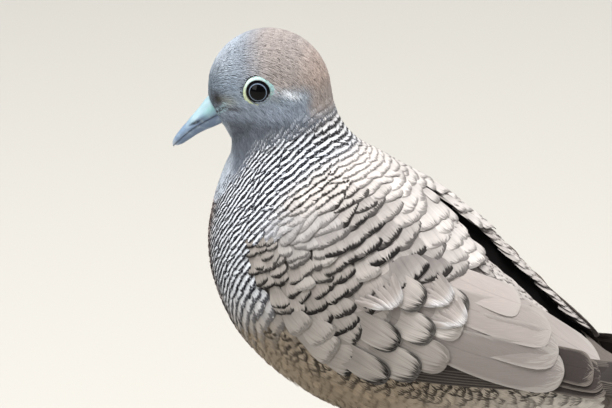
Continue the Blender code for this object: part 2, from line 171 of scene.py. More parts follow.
def saddle(place, angle):
    """How much the folded wings round the coat up beside the furrow, the left wing less than the right."""
    angle = wrap(angle)
    off_crest = (np.abs(angle) - SADDLE_ANGLE) / SADDLE_SPREAD
    lower = 1 - LEFT_WING_DROP * eased(-8.0, 10.0, angle)
    off_rim = (angle - LEFT_RIM_ANGLE) / LEFT_RIM_SPREAD
    dip = LEFT_WING_DIP * eased(SHOULDER - 0.2, SHOULDER + 2.6, place) * np.exp(-(off_rim**2))
    along = eased(MANTLE, SHOULDER + 1.5, place) * (1 - 0.5 * eased(SHOULDER + 2, VENT - 1, place))
    ends = 1 - eased(VENT - 0.5, VENT + 1.2, place)
    return (SADDLE_LIFT * np.exp(-off_crest * off_crest) * lower - dip) * along * ends


def tangents(place, angle):
    """How the form moves for one station and for one degree, and its outward normal."""
    step = 0.03
    ahead, behind = np.clip(place + step, 0, LAST - 1e-4), np.clip(place - step, 0, LAST - 1e-4)
    forward = (bare_form(ahead, angle) - bare_form(behind, angle)) / (ahead - behind)[..., None]
    around = (bare_form(place, angle + 1) - bare_form(place, angle - 1)) / 2
    normal = np.cross(around, forward)
    normal /= np.linalg.norm(normal, axis=-1, keepdims=True) + 1e-9
    return forward, around, normal


def form(place, angle, lift=0.0):
    """A point of the plumage's outside, raised along the normal by lift."""
    place = np.asarray(place, float) + 0 * np.asarray(angle, float)
    angle = np.asarray(angle, float) + 0 * place
    beyond = np.clip(place - (LAST - 1e-3), 0, None)
    inside = np.clip(place, 0, LAST - 1e-3)
    forward, _, normal = tangents(inside, angle)
    lift = lift + saddle(inside, angle)
    return bare_form(inside, angle) + normal * lift[..., None] + forward * beyond[..., None]


def furrow_edge(place):
    """The angle of the folded wing's upper edge beside the furrow."""
    return INNER_EDGE + (TIP_INNER_EDGE - INNER_EDGE) * eased(WING_FRONT + 1.6, WING_FRONT + 5.3, place)


def scapular_edge(place):
    """The angle down to which the mantle and scapular feathers reach over the folded wing."""
    stations = SHOULDER + np.array((-0.1, 1.2, 2.0, 2.5, 2.8, 3.0))
    return np.interp(place, stations, (94.0, 76.0, 62.0, 52.0, 42.0, 24.0))


def open_edge(place, side=1):
    """The angle up to which the furrow is free of a wing's feathers, wider on the left wing."""
    opened = eased(SHOULDER + 0.7, SHOULDER + 2.7, place)
    return 2.0 + (9.0 if side > 0 else 3.0) * opened + 6.0 * eased(SHOULDER + 3.4, VENT - 0.5, place)


def wing_edges(place):
    """The angles of a folded wing's upper and lower edge at a station."""
    share = (place - WING_FRONT) / (WING_END - WING_FRONT)
    scapular = BEND_TOP + (SCAPULAR_EDGE - BEND_TOP) * np.minimum(1.0, share / 0.24)
    top = scapular + (furrow_edge(place) - scapular) * eased(0.19, 0.39, share)
    return top, spline(LOWER_EDGE, np.clip(share, 0, 1) * (len(LOWER_EDGE) - 1))[..., 0]


def past_furrow(place):
    """0 along the furrow between the wings and 1 on the rump behind it."""
    return eased(WING_END - 0.9, WING_END + 0.3, place)


def in_wing(place, angle, margin=0.0):
    """Whether a place is covered by a folded wing, with a margin in degrees."""
    top, bottom = wing_edges(np.clip(place, WING_FRONT, WING_END))
    angle = np.abs(wrap(angle))
    along = (place > WING_FRONT - margin / 60) & (place < WING_END + margin / 60)
    return along & (angle > top - margin) & (angle < bottom + margin)


def wing_proud(place, angle):
    """How far the folded wing stands out over the body, most along its lower edge and its rear."""
    top, bottom = wing_edges(np.clip(place, WING_FRONT, WING_END))
    lower = np.clip((np.abs(angle) - top) / (bottom - top + 1e-6), 0, 1)
    return WING_PROUD * np.maximum(lower**2 * eased(WING_FRONT, WING_PARTING, place),
                                   eased(WING_PARTING - 1.5, WING_END, place))


# Rows of feathers: they sweep back round the neck, faster and faster down the side.
SWEEP, SWEEP_FROM, SWEEP_MERIDIAN = 0.0030, 38.0, 60.0
SWEEP_PLACES = np.linspace(0, LAST - 0.01, 600)
SWEEP_LINE = form(SWEEP_PLACES, np.full(600, SWEEP_MERIDIAN))
SWEEP_TRAVEL = np.r_[0, np.cumsum(np.linalg.norm(np.diff(SWEEP_LINE, axis=0), axis=1))]


def swept(angle):
    """How far a row has fallen back at an angle, in millimetres."""
    return SWEEP / 2 * np.clip(np.abs(angle) - SWEEP_FROM, 0, None) ** 2


def row_at(place, angle):
    """The row that a place belongs to, in millimetres from the bill along the side of the back."""
    return np.interp(place, SWEEP_PLACES, SWEEP_TRAVEL) - swept(angle)


def row_place(row, angle):
    """The station at which a row crosses an angle."""
    return np.interp(row + swept(angle), SWEEP_TRAVEL, SWEEP_PLACES)


def srgb(red, green, blue):
    """A colour given as screen values, in linear light."""
    shade = np.array((red, green, blue)) / 255
    return np.where(shade <= 0.04045, shade / 12.92, ((shade + 0.055) / 1.055) ** 2.4)


def blend(first, second, share):
    """Colours mixed by a share for each row."""
    return first + (second - first) * np.asarray(share)[..., None]


def layered(colour, layers):
    """A ground colour with others laid over it in turn, each with its share for each row."""
    for over, share in layers:
        colour = blend(colour, over, share)
    return colour


def spot(dx, dy, wide, tall):
    """A soft round spot: 1 in its middle, fading with the distances dx and dy."""
    return np.exp(-((dx / wide) ** 2) - (dy / tall) ** 2)


# ---------------------------------------------------------------------------------------------
# Plumage colours.
BLUE_GREY, PALE_GREY, CHEEK = srgb(138, 150, 163), srgb(190, 197, 206), srgb(140, 150, 164)
CROWN, NAPE_BROWN, GAPE = srgb(156, 147, 143), srgb(176, 160, 151), srgb(166, 190, 198)
LORE, LORE_OLIVE = srgb(62, 57, 56), srgb(146, 150, 140)
THROAT_GREY_AND_SHADE, EAR_WHITE = srgb(80, 84, 92), srgb(226, 231, 237)
NECK_GREY, BAR_WHITE, BAR_BLACK = srgb(180, 184, 193), srgb(234, 238, 243), srgb(30, 31, 38)
MANTLE_TAN, MANTLE_CREAM, MANTLE_BAR = srgb(205, 198, 193), srgb(234, 228, 222), srgb(48, 43, 40)
SCAPULAR_TAN, SCAPULAR_BAR = srgb(156, 149, 145), srgb(30, 27, 26)
COVERT_TAN, COVERT_PALE, COVERT_BAR = srgb(140, 133, 127), srgb(190, 184, 178), srgb(24, 21, 20)
# The upper tan is painted light: wing feathers nearer the back are made lighter, as lit from above.
TOP_LIT_TAN, FRONT_GREY = srgb(182, 173, 168), srgb(170, 167, 166)
TERTIAL_TAN, TERTIAL_EDGE = srgb(146, 138, 134), srgb(190, 184, 178)
QUILL_BROWN, QUILL_EDGE = srgb(56, 50, 48), srgb(146, 137, 128)
BUFF, VINOUS = srgb(138, 124, 106), srgb(190, 178, 174)
VENT_WHITE, BELLY_PALE = srgb(212, 206, 198), srgb(190, 174, 158)
FLANK_PALE, FLANK_BAR = srgb(198, 186, 170), srgb(36, 32, 30)
# The furrow's colour is painted shade: near black for the deep gap between the wings.
RUMP_BROWN, FURROW_SHADE = srgb(120, 111, 104), srgb(26, 22, 21)


def head_colour(place, angle):
    """The head's plain colour: blue-grey face, brown crown and nape, dark lore, grey throat darkened with
    painted shade.
    """
    point = untwisted(place, angle)
    ahead, up = HEAD_CENTRE[0] - point[..., 0], point[..., 2] - HEAD_CENTRE[1]
    aside = np.abs(point[..., 1])
    side = aside > 3
    rim = 0.6 + 0.10 * np.maximum(0, -ahead)
    brown = eased(5.0, -4.5, ahead - 0.25 * up) * eased(rim - 1.6, rim + 2.0, up)
    below_gape = 0.8 * (up + 2.4 + 0.76 * (ahead - 7.7))
    near_gape = eased(6.2, 7.6, ahead) * eased(2, 4, aside)
    lips = spot(0, below_gape - 0.35, 1, 0.22) + spot(0, below_gape + 0.5, 1, 0.22)
    layers = (
        (PALE_GREY, 0.6 * eased(3, 8, ahead) * eased(2, 7, up)),
        (CHEEK, eased(0.5, -2.5, up) * eased(3, 7, aside)),
        (CROWN, brown),
        (NAPE_BROWN, brown * eased(-6, -11.5, ahead) * 0.9),
        (NAPE_BROWN, eased(-8.5, -11, ahead) * eased(-6, -2, up) * 0.8),
        # The throat under the head: its grey is darkened with painted shade.
        (THROAT_GREY_AND_SHADE, eased(-3.0, -6.5, up) * eased(9.5, 5.5, ahead) * 0.8),
        (PALE_GREY, eased(-5.0, -8.5, up) * eased(6, 8, ahead) * 0.7),
        (EAR_WHITE, 0.9 * spot(ahead + 6.4, up - 0.6 - 0.3 * (ahead + 6.4), 2.0, 0.75) * side),
        (LORE_OLIVE * 0.6, 0.45 * spot(ahead + 3.4, up + 0.3, 1.6, 0.6) * side),
        (LORE, spot(ahead - 9.0, up + 0.8, 1.8, 1.5) * eased(0.5, 2.5, aside)),
        (LORE_OLIVE, 0.7 * spot(ahead - 6.4, up + 0.9, 1.9, 1.2) * eased(3, 5, aside)),
        (LORE, 0.8 * spot(ahead - 5.4, up + 2.5, 2.4, 0.32) * eased(3, 5, aside)),
        (GAPE, near_gape * lips),
        (LORE, 0.95 * near_gape * spot(0, below_gape + 0.08, 1, 0.16)))
    colour = layered(BLUE_GREY, layers)
    mottle = np.sin(2.1 * ahead + 1.3 * up) * np.sin(1.7 * up - 0.9 * ahead + 0.8 * aside)
    mottle = mottle + 0.6 * np.sin(3.9 * ahead - 2.8 * up)
    return colour * (1 + 0.09 * mottle)[..., None]


def plumage(count, ground, light, bar, dark=0.0, pale=0.0, share=0.0, width=0.3, fringe=0.0, repeat=0.0):
    """The marks of a batch of feathers, filled out to one row each.

    ground, light and bar are colours; dark and pale are how strong the bar and the light band are.
    share is how much of what shows of a feather its bar takes, and width is the same for the band.
    fringe is how strong the light rim is; repeat is 1 for bars all along and 0 for one at the tip."""
    colours = dict(ground=ground, light=light, bar=bar)
    colours = {key: np.broadcast_to(value, (count, 3)) for key, value in colours.items()}
    amounts = dict(dark=dark, pale=pale, share=share, width=width, fringe=fringe, repeat=repeat)
    return colours | {key: np.broadcast_to(value, count) for key, value in amounts.items()}


def bars_begin(angle):
    """The station from which the neck is barred: low at the throat, high at the nape."""
    return NAPE - 0.15 + 1.65 * eased(108, 142, angle) + 0.9 * eased(142, 166, angle)


def body_marks(place, angle):
    """Barred neck and breast, and mantle feathers with a cream band before a dark tip."""
    angle = np.abs(wrap(angle))
    row = row_at(place, angle)
    hind = eased(66, 34, angle) * eased(NAPE + 3.2, NAPE - 0.5, place)
    mantle = eased(40.5, 46.5, row) * eased(112, 88, angle)
    low = eased(SHOULDER + 0.9, SHOULDER + 2.4, place) * (angle > 100)
    begun = eased(bars_begin(angle) - 0.35, bars_begin(angle) + 0.75, place)
    centre = eased(174, 156, angle)
    wing_side = eased(WING_FRONT - 0.9, WING_FRONT - 0.1, place)
    wing_side = wing_side * eased(WING_FRONT + 0.8, WING_FRONT + 0.1, place)
    wing_side = wing_side * eased(70, 84, angle) * eased(120, 106, angle)
    ground = layered(NECK_GREY, (
        (MANTLE_TAN, np.maximum(mantle, 0.6 * hind)), (BUFF, low),
        (SCAPULAR_TAN, mantle * eased(48, 58, row) * eased(28, 56, angle))))
    ground = blend(head_colour(np.minimum(place, NAPE + 0.6), angle), ground, begun)
    ground = layered(ground, ((VINOUS, eased(156, 174, angle) * begun), (FRONT_GREY, 0.6 * wing_side)))
    light = layered(BAR_WHITE, (
        (MANTLE_CREAM, np.maximum(mantle, 0.65 * hind)), (BUFF * 1.08, low),
        (FRONT_GREY * 1.1, 0.7 * wing_side)))
    bar = layered(BAR_BLACK, (
        (MANTLE_BAR, np.maximum(mantle, 0.5 * hind)),
        (SCAPULAR_BAR, mantle * eased(50, 58, row) * eased(30, 50, angle))))
    strength = begun * centre * (1 - 0.75 * low) * (1 - 0.6 * wing_side)
    strength = strength * (1 - 0.42 * mantle * eased(60, 40, angle))
    share = 0.41 - 0.09 * eased(112, 140, angle) - (0.15 + 0.08 * eased(56, 36, angle)) * mantle
    return plumage(len(angle), ground, light, bar, dark=strength, pale=strength * (0.95 - 0.45 * mantle),
                   share=share, width=0.55 - 0.25 * mantle, repeat=1 - mantle)


def belly_marks(place, angle):
    """Buff belly, with short dark bars on the flank below the wing, paler to the vent."""
    angle = np.abs(wrap(angle))
    count = len(angle)
    bottom = wing_edges(np.clip(place, WING_FRONT, WING_END))[1]
    near_wing = eased(34, 10, angle - bottom) * (place < VENT)
    ground = layered(BUFF, (
        (VENT_WHITE, eased(SHOULDER + 3.5, VENT + 0.5, place)), (BELLY_PALE, eased(150, 175, angle))))
    broken = rng.uniform(0, 1, count) < 0.35 + 0.6 * near_wing
    return plumage(count, ground, FLANK_PALE, FLANK_BAR, dark=0.9 * near_wing * broken,
                   pale=0.5 * near_wing, share=0.22, width=0.5)


# ---------------------------------------------------------------------------------------------
# Shading.
class Sum:
    """A socket that can be added, multiplied and compared, which adds the maths nodes."""

    def __init__(self, tree, socket):
        self.tree, self.socket = tree, socket

    def _with(self, operation, *values, clamp=False):
        """A maths node fed with the values, as a new socket."""
        node = self.tree.nodes.new("ShaderNodeMath")
        node.operation = operation
        node.use_clamp = clamp
        for slot, value in zip(node.inputs, values):
            if isinstance(value, Sum):
                self.tree.links.new(value.socket, slot)
            else:
                slot.default_value = value
        return Sum(self.tree, node.outputs[0])

    def __add__(self, other):
        return self._with("ADD", self, other)

    def __radd__(self, other):
        return self._with("ADD", other, self)

    def __sub__(self, other):
        return self._with("SUBTRACT", self, other)

    def __rsub__(self, other):
        return self._with("SUBTRACT", other, self)

    def __mul__(self, other):
        return self._with("MULTIPLY", self, other)

    def __rmul__(self, other):
        return self._with("MULTIPLY", other, self)

    def __truediv__(self, other):
        return self._with("DIVIDE", self, other)

    def __rtruediv__(self, other):
        return self._with("DIVIDE", other, self)

    def fraction(self):
        """What is left over a whole number."""
        return self._with("FRACT", self)

    def size(self):
        """The value without its sign."""
        return self._with("ABSOLUTE", self)

    def above(self, level, soft):
        """1 above a level and 0 below it, with a soft step between."""
        return self._with("MULTIPLY_ADD", self, 1 / soft, 0.5 - level / soft, clamp=True)

    def below(self, level, soft):
        """1 below a level and 0 above it, with a soft step between."""
        return self._with("MULTIPLY_ADD", self, -1 / soft, 0.5 + level / soft, clamp=True)

    def larger(self, other):
        """The larger of two values."""
        return self._with("MAXIMUM", self, other)

    def smaller(self, other):
        """The smaller of two values."""
        return self._with("MINIMUM", self, other)


class Finish:
    """A material under construction."""

    def __init__(self, name, roughness=0.6, **fixed):
        self.material = bpy.data.materials.new(name)
        self.material.use_nodes = True
        self.tree = self.material.node_tree
        self.shader = self.tree.nodes["Principled BSDF"]
        self.shader.inputs["Roughness"].default_value = roughness
        for key, value in fixed.items():
            self.shader.inputs[key.replace("_", " ")].default_value = value

    def node(self, kind, settings=None, **sockets):
        """A new node with its settings, fed with values or other sockets."""
        made = self.tree.nodes.new(kind)
        for key, value in (settings or {}).items():
            setattr(made, key, value)
        for key, value in sockets.items():
            self.feed(made.inputs[key.replace("_", " ")], value)
        return made

    def feed(self, socket, value):
        """Links a socket to another, or sets its value."""
        if isinstance(value, Sum):
            self.tree.links.new(value.socket, socket)
        elif isinstance(value, bpy.types.NodeSocket):
            self.tree.links.new(value, socket)
        else:
            socket.default_value = value

    def number(self, socket):
        """A socket that maths can be done with."""
        return Sum(self.tree, socket)

    def attribute(self, name):
        """The node that reads what is stored on the mesh under a name."""
        return self.node("ShaderNodeAttribute", {"attribute_name": name})

    def split(self, socket):
        """The three parts of a vector."""
        made = self.node("ShaderNodeSeparateXYZ", Vector=socket)
        return [self.number(out) for out in made.outputs]

    def joined(self, *values):
        """A vector made of three parts."""
        made = self.node("ShaderNodeCombineXYZ")
        for slot, value in zip(made.inputs, values):
            self.feed(slot, value)
        return made.outputs[0]

    def noise(self, vector, scale, detail=2.0, roughness=0.5):
        """Noise from 0 to 1."""
        made = self.node("ShaderNodeTexNoise", Vector=vector, Scale=scale, Detail=detail, Roughness=roughness)
        return self.number(made.outputs["Fac"])

    def feed_colour(self, socket, value):
        """Feeds a colour from another node, or a fixed one."""
        self.feed(socket, (*value, 1.0) if isinstance(value, np.ndarray) else value)

    def mix(self, factor, first, second, mode="MIX"):
        """Two colours mixed by a factor."""
        made = self.node("ShaderNodeMix", {"data_type": "RGBA", "blend_type": mode})
        self.feed(made.inputs[0], factor)
        self.feed_colour(made.inputs[6], first)
        self.feed_colour(made.inputs[7], second)
        return made.outputs[2]

    def place(self):
        """The place on the object, as a vector."""
        return self.node("ShaderNodeTexCoord").outputs["Object"]

    def colour(self, value):
        """Sets the material's colour."""
        self.feed_colour(self.shader.inputs["Base Color"], value)

    def bump(self, height, distance):
        """Makes the surface rough by a height from 0 to 1 over a distance in metres."""
        made = self.node("ShaderNodeBump", Height=height, Distance=distance, Strength=1.0)
        self.tree.links.new(made.outputs[0], self.shader.inputs["Normal"])


def feather_finish(name, streak, lean, contrast, bump, roughness=0.72):
    """Feathers: bands across the vane that follow its tip, an edge line with a painted shadow line inside it,
    a shaft and barbs.

    streak is how many barbs cross half a vane and lean is how far they slope back from the shaft.
    contrast is how strongly they show, and bump is how high they stand, in metres."""
    finish = Finish(name, roughness, Specular_IOR_Level=0.12, Sheen_Weight=0.05, Sheen_Roughness=0.5)
    ground, light, bar, marks = (finish.attribute(key) for key in ("ground", "light", "bar", "marks"))
    alphas = (finish.number(made.outputs["Alpha"]) for made in (ground, light, bar))
    dark_strength, pale_strength, width = alphas
    share, fringe, repeat = finish.split(marks.outputs["Vector"])
    seed = finish.number(marks.outputs["Alpha"])
    across, from_tip, _ = finish.split(finish.node("ShaderNodeUVMap", {"uv_map": "vane"}).outputs[0])
    off_shaft = across.size()
    slope = off_shaft * streak - from_tip * lean + seed * 57.0
    barbs = finish.noise(finish.joined(slope, across * (0.6 + lean * 0.1), seed * 11.0), 1.0, 3.0, 0.68)
    cloud = finish.noise(finish.joined(across * 1.3 + seed * 31.0, from_tip * 1.1, seed * 5.0), 1.0, 1.0)
    ragged = from_tip + (barbs - 0.5) * (0.80 - repeat * 0.50) + (cloud - 0.5) * (0.24 - repeat * 0.14)
    cycle = ragged.fraction() * repeat + ragged * (1.0 - repeat)
    shade = cycle.below(share * 1.7, 0.50) * (1.0 - repeat) * 0.26
    dark = cycle.below(share, 0.20).larger(shade) * dark_strength * cloud.above(0.26, 0.20)
    pale = cycle.above(share, 0.20) * cycle.below(share + width, 0.62 - repeat * 0.40) * pale_strength
    pale = pale * (repeat * 0.5 + barbs.above(0.50, 0.5) * (1.0 - repeat * 0.5))
    base = finish.mix(pale, ground.outputs["Color"], light.outputs["Color"])
    base = finish.mix(dark, base, bar.outputs["Color"])
    frayed = off_shaft + (barbs - 0.5) * 0.22
    rim = frayed.above(1.03 - fringe * 0.13, 0.22).larger(ragged.below(0.05, 0.10)) * fringe.smaller(1.0)
    base = finish.mix(rim, base, light.outputs["Color"])
    # inner is a painted shadow line just inside the pale edge.
    inner = frayed.above(0.96 - fringe * 0.2, 0.3) * (1.0 - rim) * fringe.smaller(1.0)
    tone = (1.0 - contrast * 0.5) + barbs * contrast - off_shaft.below(0.03, 0.04) * 0.14 - inner * 0.10
    # Darker over the part under the feather in front: partly the real darker base, partly painted shade.
    tone = tone * (1.0 - from_tip.above(1.05, 0.7) * 0.22) * (0.90 + cloud * 0.20)
    finish.colour(finish.mix(1.0, base, finish.joined(tone, tone, tone), "MULTIPLY"))
    finish.bump(barbs, bump)
    return finish.material


# ---------------------------------------------------------------------------------------------
# Making pieces.
def fresh_grid(along, around):
    """A flat grid, alone in the selection, as a start for a piece."""
    bpy.ops.object.select_all(action="DESELECT")
    bpy.ops.mesh.primitive_grid_add(x_subdivisions=along, y_subdivisions=around, size=2)
    return bpy.context.object


def get_points(obj):
    """The mesh's points, one in each row."""
    flat = np.empty(len(obj.data.vertices) * 3)
    obj.data.vertices.foreach_get("co", flat)
    return flat.reshape(-1, 3)


def in_millimetres(obj):
    """The mesh's points in the millimetres of the form."""
    return (get_points(obj) - ORIGIN) / MM


def grid_shares(obj):
    """The grid's points as shares from 0 to 1 along and across."""
    points = get_points(obj)
    return (points[:, 0] + 1) / 2, (points[:, 1] + 1) / 2


def set_points(obj, points):
    """Moves the mesh's points."""
    obj.data.vertices.foreach_set("co", np.ascontiguousarray(points, dtype=float).ravel())
    obj.data.update()


def close_up(obj, distance=1e-6):
    """Welds the edges that a rolled grid brings together, turns the faces outwards and smooths them."""
    bpy.context.view_layer.objects.active = obj
    bpy.ops.object.mode_set(mode="EDIT")
    bpy.ops.mesh.select_all(action="SELECT")
    bpy.ops.mesh.remove_doubles(threshold=distance)
    bpy.ops.mesh.normals_make_consistent(inside=False)
    bpy.ops.object.mode_set(mode="OBJECT")
    bpy.ops.object.shade_smooth()


def rolled(name, along, around, shape):
    """A grid rolled into a closed piece, where shape gives the points for shares along and around."""
    obj = fresh_grid(along, around)
    obj.name = name
    share, turn = grid_shares(obj)
    set_points(obj, shape(share, turn) * MM + ORIGIN)
    close_up(obj)
    return obj


def joined(name, pieces):
    """Several pieces as one mesh."""
    bpy.ops.object.select_all(action="DESELECT")
    for piece in pieces:
        piece.select_set(True)
    bpy.context.view_layer.objects.active = pieces[0]
    bpy.ops.object.join()
    pieces[0].name = name
    pieces[0].data.name = name
    return pieces[0]


def finished(obj, material, slot, *nodes):
    """Gives a piece its material, and the solids that it stands for, which it hides; slot is not used."""
    obj.data.materials.clear()
    obj.data.materials.append(material)
    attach(obj, "root")
    if nodes:
        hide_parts(*nodes)
    return obj


def paint(mesh, name, colours):
    """Stores a colour for each point, and an amount with it where one is given."""
    if colours.shape[1] == 3:
        colours = np.c_[colours, np.ones(len(colours))]
    layer = mesh.color_attributes.new(name, "FLOAT_COLOR", "POINT")
    layer.data.foreach_set("color", np.ascontiguousarray(colours, dtype=np.float32).ravel())


# ---------------------------------------------------------------------------------------------
# Feathers.
class Vane:
    """One thin closed feather, flat: shares from root (0) to tip (1) and across (-1 to 1)."""

    def __init__(self, along, across, shoulder=0.7, blunt=0.3, notch=0.1, root=0.4):
        obj = fresh_grid(along, across)
        share, side = grid_shares(obj)
        share = 1 - (1 - share) ** 2.1
        side = side * 2 - 1
        tip = np.clip((share - shoulder) / (1 - shoulder), 0, 1)
        turn = math.acos(blunt)
        width = np.cos(tip * turn) * (root + (1 - root) * eased(0, shoulder, share))
        straight = np.where(tip > 0, shoulder + (1 - shoulder) * np.sin(tip * turn) / math.sin(turn), share)
        flat_across = side * width
        edge = shoulder + (1 - shoulder) * np.sqrt(1 - np.minimum(flat_across**2, 0.97))
        column = np.round((side + 1) / 2 * across).astype(int)
        comb = np.where(column % 2 == 1, notch, 0.0) * (0.4 + 0.6 * np.abs(np.sin(column * 2.4)))
        comb = comb * eased(0.999 - 3 * notch, 1.0, np.minimum(straight, edge))
        top = dict(along=np.minimum(straight, edge) - comb, across=flat_across, side=side,
                   depth=np.maximum(edge - straight, 0.0), under=0.0 * side)
        faces = np.array([face.vertices[:] for face in obj.data.polygons])
        bpy.data.objects.remove(obj)
        inside = np.nonzero((share > 0.001) & (share < 0.999) & (np.abs(side) < 0.999))[0]
        lower = np.arange(len(share))
        lower[inside] = len(share) + np.arange(len(inside))
        for key, value in top.items():
            setattr(self, key, np.r_[value, value[inside]])
        self.under[len(share):] = 1.0
        self.faces = np.concatenate((faces, lower[faces][:, ::-1]))


def raw_mesh(name, points, faces):
    """A mesh of four-sided faces, smooth but for the feathers' thin edges."""
    mesh = bpy.data.meshes.new(name)
    mesh.vertices.add(len(points))
    mesh.vertices.foreach_set("co", np.ascontiguousarray(points * MM + ORIGIN, dtype=float).ravel())
    mesh.loops.add(faces.size)
    mesh.loops.foreach_set("vertex_index", faces.ravel())
    mesh.polygons.add(len(faces))
    mesh.polygons.foreach_set("loop_start", np.arange(0, faces.size, 4))
    mesh.polygons.foreach_set("loop_total", np.full(len(faces), 4))
    mesh.update(calc_edges=True)
    mesh.shade_smooth()
    mesh.set_sharp_from_angle(angle=math.radians(100))
    return mesh


def marked(mesh, marks, seeds, each):
    """Stores each feather's marks on its points."""
    paint(mesh, "ground", np.c_[marks["ground"], marks["dark"]][each])
    paint(mesh, "light", np.c_[marks["light"], marks["pale"]][each])
    paint(mesh, "bar", np.c_[marks["bar"], marks["width"]][each])
    paint(mesh, "marks", np.c_[marks["share"], marks["fringe"], marks["repeat"], seeds][each])


def mapped(mesh, name, values, faces):
    """Stores a map, given for each point."""
    mesh.uv_layers.new(name=name).data.foreach_set("uv", values[faces.ravel()].astype(np.float32).ravel())


def feathered(name, vane, points, marks, seeds, from_tip, homes, material, slot, *nodes):
    """One piece made of like feathers, from the points, marks and map places of them all."""
    count, per = len(seeds), len(vane.along)
    faces = (vane.faces[None] + per * np.arange(count)[:, None, None]).reshape(-1, 4)
    mesh = raw_mesh(name, points, faces)
    marked(mesh, marks, seeds, np.repeat(np.arange(count), per))
    mapped(mesh, "vane", np.c_[np.tile(vane.side, count), from_tip], faces)
    mapped(mesh, "OFBake", homes, faces)
    obj = bpy.data.objects.new(name, mesh)
    bpy.context.scene.collection.objects.link(obj)
    print(name, count, "feathers", len(faces) * 2, "triangles")
    return finished(obj, material, slot, *nodes)


class Coat:
    """A batch of small feathers gathered for one piece; patch is each feather's size on the OFBake map."""

    def __init__(self, name, vane, patch):
        self.name, self.vane, self.patch = name, vane, patch
        self.rows = []

    def add(self, place, angle, marks, uneven=0.07, **more):
        """Adds feathers with their tips at the places given; uneven is how much their shades differ."""
        count = len(place)
        tone = 1 + rng.normal(0, uneven, (count, 1))
        row = dict(place=place, angle=angle, seed=rng.uniform(0, 1, count), bend=rng.normal(0, 0.10, count),
                   skew=rng.normal(0, 0.14, count), thick=0.06, **marks, **more)
        row["ground"], row["light"] = row["ground"] * tone, row["light"] * tone
        for key, value in row.items():
            if not np.ndim(value):
                row[key] = np.full(count, float(value))
        self.rows.append(row)

    def build(self, material, slot):
        """Bends every feather over the form and makes the piece."""
        vane = self.vane
        get = {key: np.concatenate([row[key] for row in self.rows]) for key in self.rows[0]}
        count, per = len(get["seed"]), len(vane.along)

        def column(key):
            """One value for each feather, as a column."""
            return get[key][:, None]

        back = (vane.along[None] - 1) * column("length") + column("skew") * vane.side[None] * column("half")
        aside = vane.across[None] * column("half") + column("bend") * vane.along[None] ** 2
        place = column("place") + back * get["lie"][:, :1] + aside * get["cross"][:, :1]
        angle = column("angle") + back * get["lie"][:, 1:] + aside * get["cross"][:, 1:]
        rise = column("root_lift") + (column("tip_lift") - column("root_lift")) * vane.along[None] ** 0.9
        rise = rise + 0.12 * (1 - vane.side[None] ** 2) - column("thick") * vane.under[None]
        points = form(place, angle, rise).reshape(-1, 3)
        from_tip = (vane.depth[None] * column("length") / column("gap")).ravel()
        home = np.c_[get["home_along"], get["home_around"]][np.repeat(np.arange(count), per)]
        local = np.c_[np.tile(vane.along, count), np.tile((vane.across + 1) / 2, count)]
        return feathered(self.name, vane, points, get, get["seed"], from_tip, home + local * self.patch,
                         material, slot)


def row_axes(place, angle, slope):
    """How the form moves for one station and one degree, its normal, and the way that a row runs.

    slope is how many stations a row of feathers falls back for each degree."""
    forward, around, normal = tangents(np.clip(place, 0, LAST - 0.01), angle)
    return forward, around, normal, unit(around + forward * (slope + 0 * place)[:, None])


def directions(place, angle, slope, twist):
    """For feathers at places, the moves in station and degrees for one millimetre along and across.

    twist turns a feather from its row's own direction."""
    forward, around, normal, row = row_axes(place, angle, slope)
    lie = np.cross(normal, row)
    lie *= np.sign(np.sum(lie * forward, axis=1, keepdims=True))
    cosine, sine = np.cos(twist)[:, None], np.sin(twist)[:, None]
    lie, row = lie * cosine + row * sine, row * cosine - lie * sine
    pairs = ((forward, forward), (forward, around), (around, around))
    ff, fa, aa = (np.sum(first * second, axis=1) for first, second in pairs)
    whole = ff * aa - fa * fa + 1e-12

    def moves(vector):
        """The stations and degrees that add up to a vector along the form."""
        vf, va = np.sum(vector * forward, axis=1), np.sum(vector * around, axis=1)
        return np.stack(((vf * aa - va * fa) / whole, (va * ff - vf * fa) / whole), 1)

    return moves(lie), moves(row)


def along_row(place_of, first, last, spacing, shift):
    """Angles along one row of feathers, where spacing gives the millimetres between them at an angle."""
    angles = np.linspace(first, last, 240)
    points = form(place_of(angles), angles)
    gaps = (spacing(angles)[1:] + spacing(angles)[:-1]) / 2
    counted = np.r_[0, np.cumsum(np.linalg.norm(np.diff(points, axis=0), axis=1) / gaps)]
    return np.interp(np.arange(shift, counted[-1], 1.0), counted, angles)


def row_gap(place, angle, slope):
    """Millimetres between rows that are one station apart."""
    forward, _, _, row = row_axes(place, angle, slope)
    return np.linalg.norm(forward - np.sum(forward * row, axis=1, keepdims=True) * row, axis=1)


def scattered(keep, spacing, tries, low, high):
    """Places spread evenly at random over part of the surface, none nearer than the spacing."""
    place, angle = rng.uniform(low, high, tries), rng.uniform(-180, 180, tries)
    forward, around, _ = tangents(place, angle)
    area = np.linalg.norm(np.cross(forward, around), axis=1)
    chosen = keep(place, angle) & (rng.uniform(0, area.max(), tries) < area)
    place, angle = place[chosen], angle[chosen]
    points, reach = bare_form(place, angle), spacing(place)
    size = reach.max()
    cells, kept = {}, []
    steps = [(i, j, k) for i in (-1, 0, 1) for j in (-1, 0, 1) for k in (-1, 0, 1)]
    for number, (x, y, z) in enumerate(points.tolist()):
        near = reach[number] ** 2
        cell = (int(x // size), int(y // size), int(z // size))
        around_cell = [cells.get((cell[0] + i, cell[1] + j, cell[2] + k), ()) for i, j, k in steps]
        others = itertools.chain.from_iterable(around_cell)
        if all((a - x) ** 2 + (b - y) ** 2 + (c - z) ** 2 > near for a, b, c in others):
            cells.setdefault(cell, []).append((x, y, z))
            kept.append(number)
    return place[kept], angle[kept]


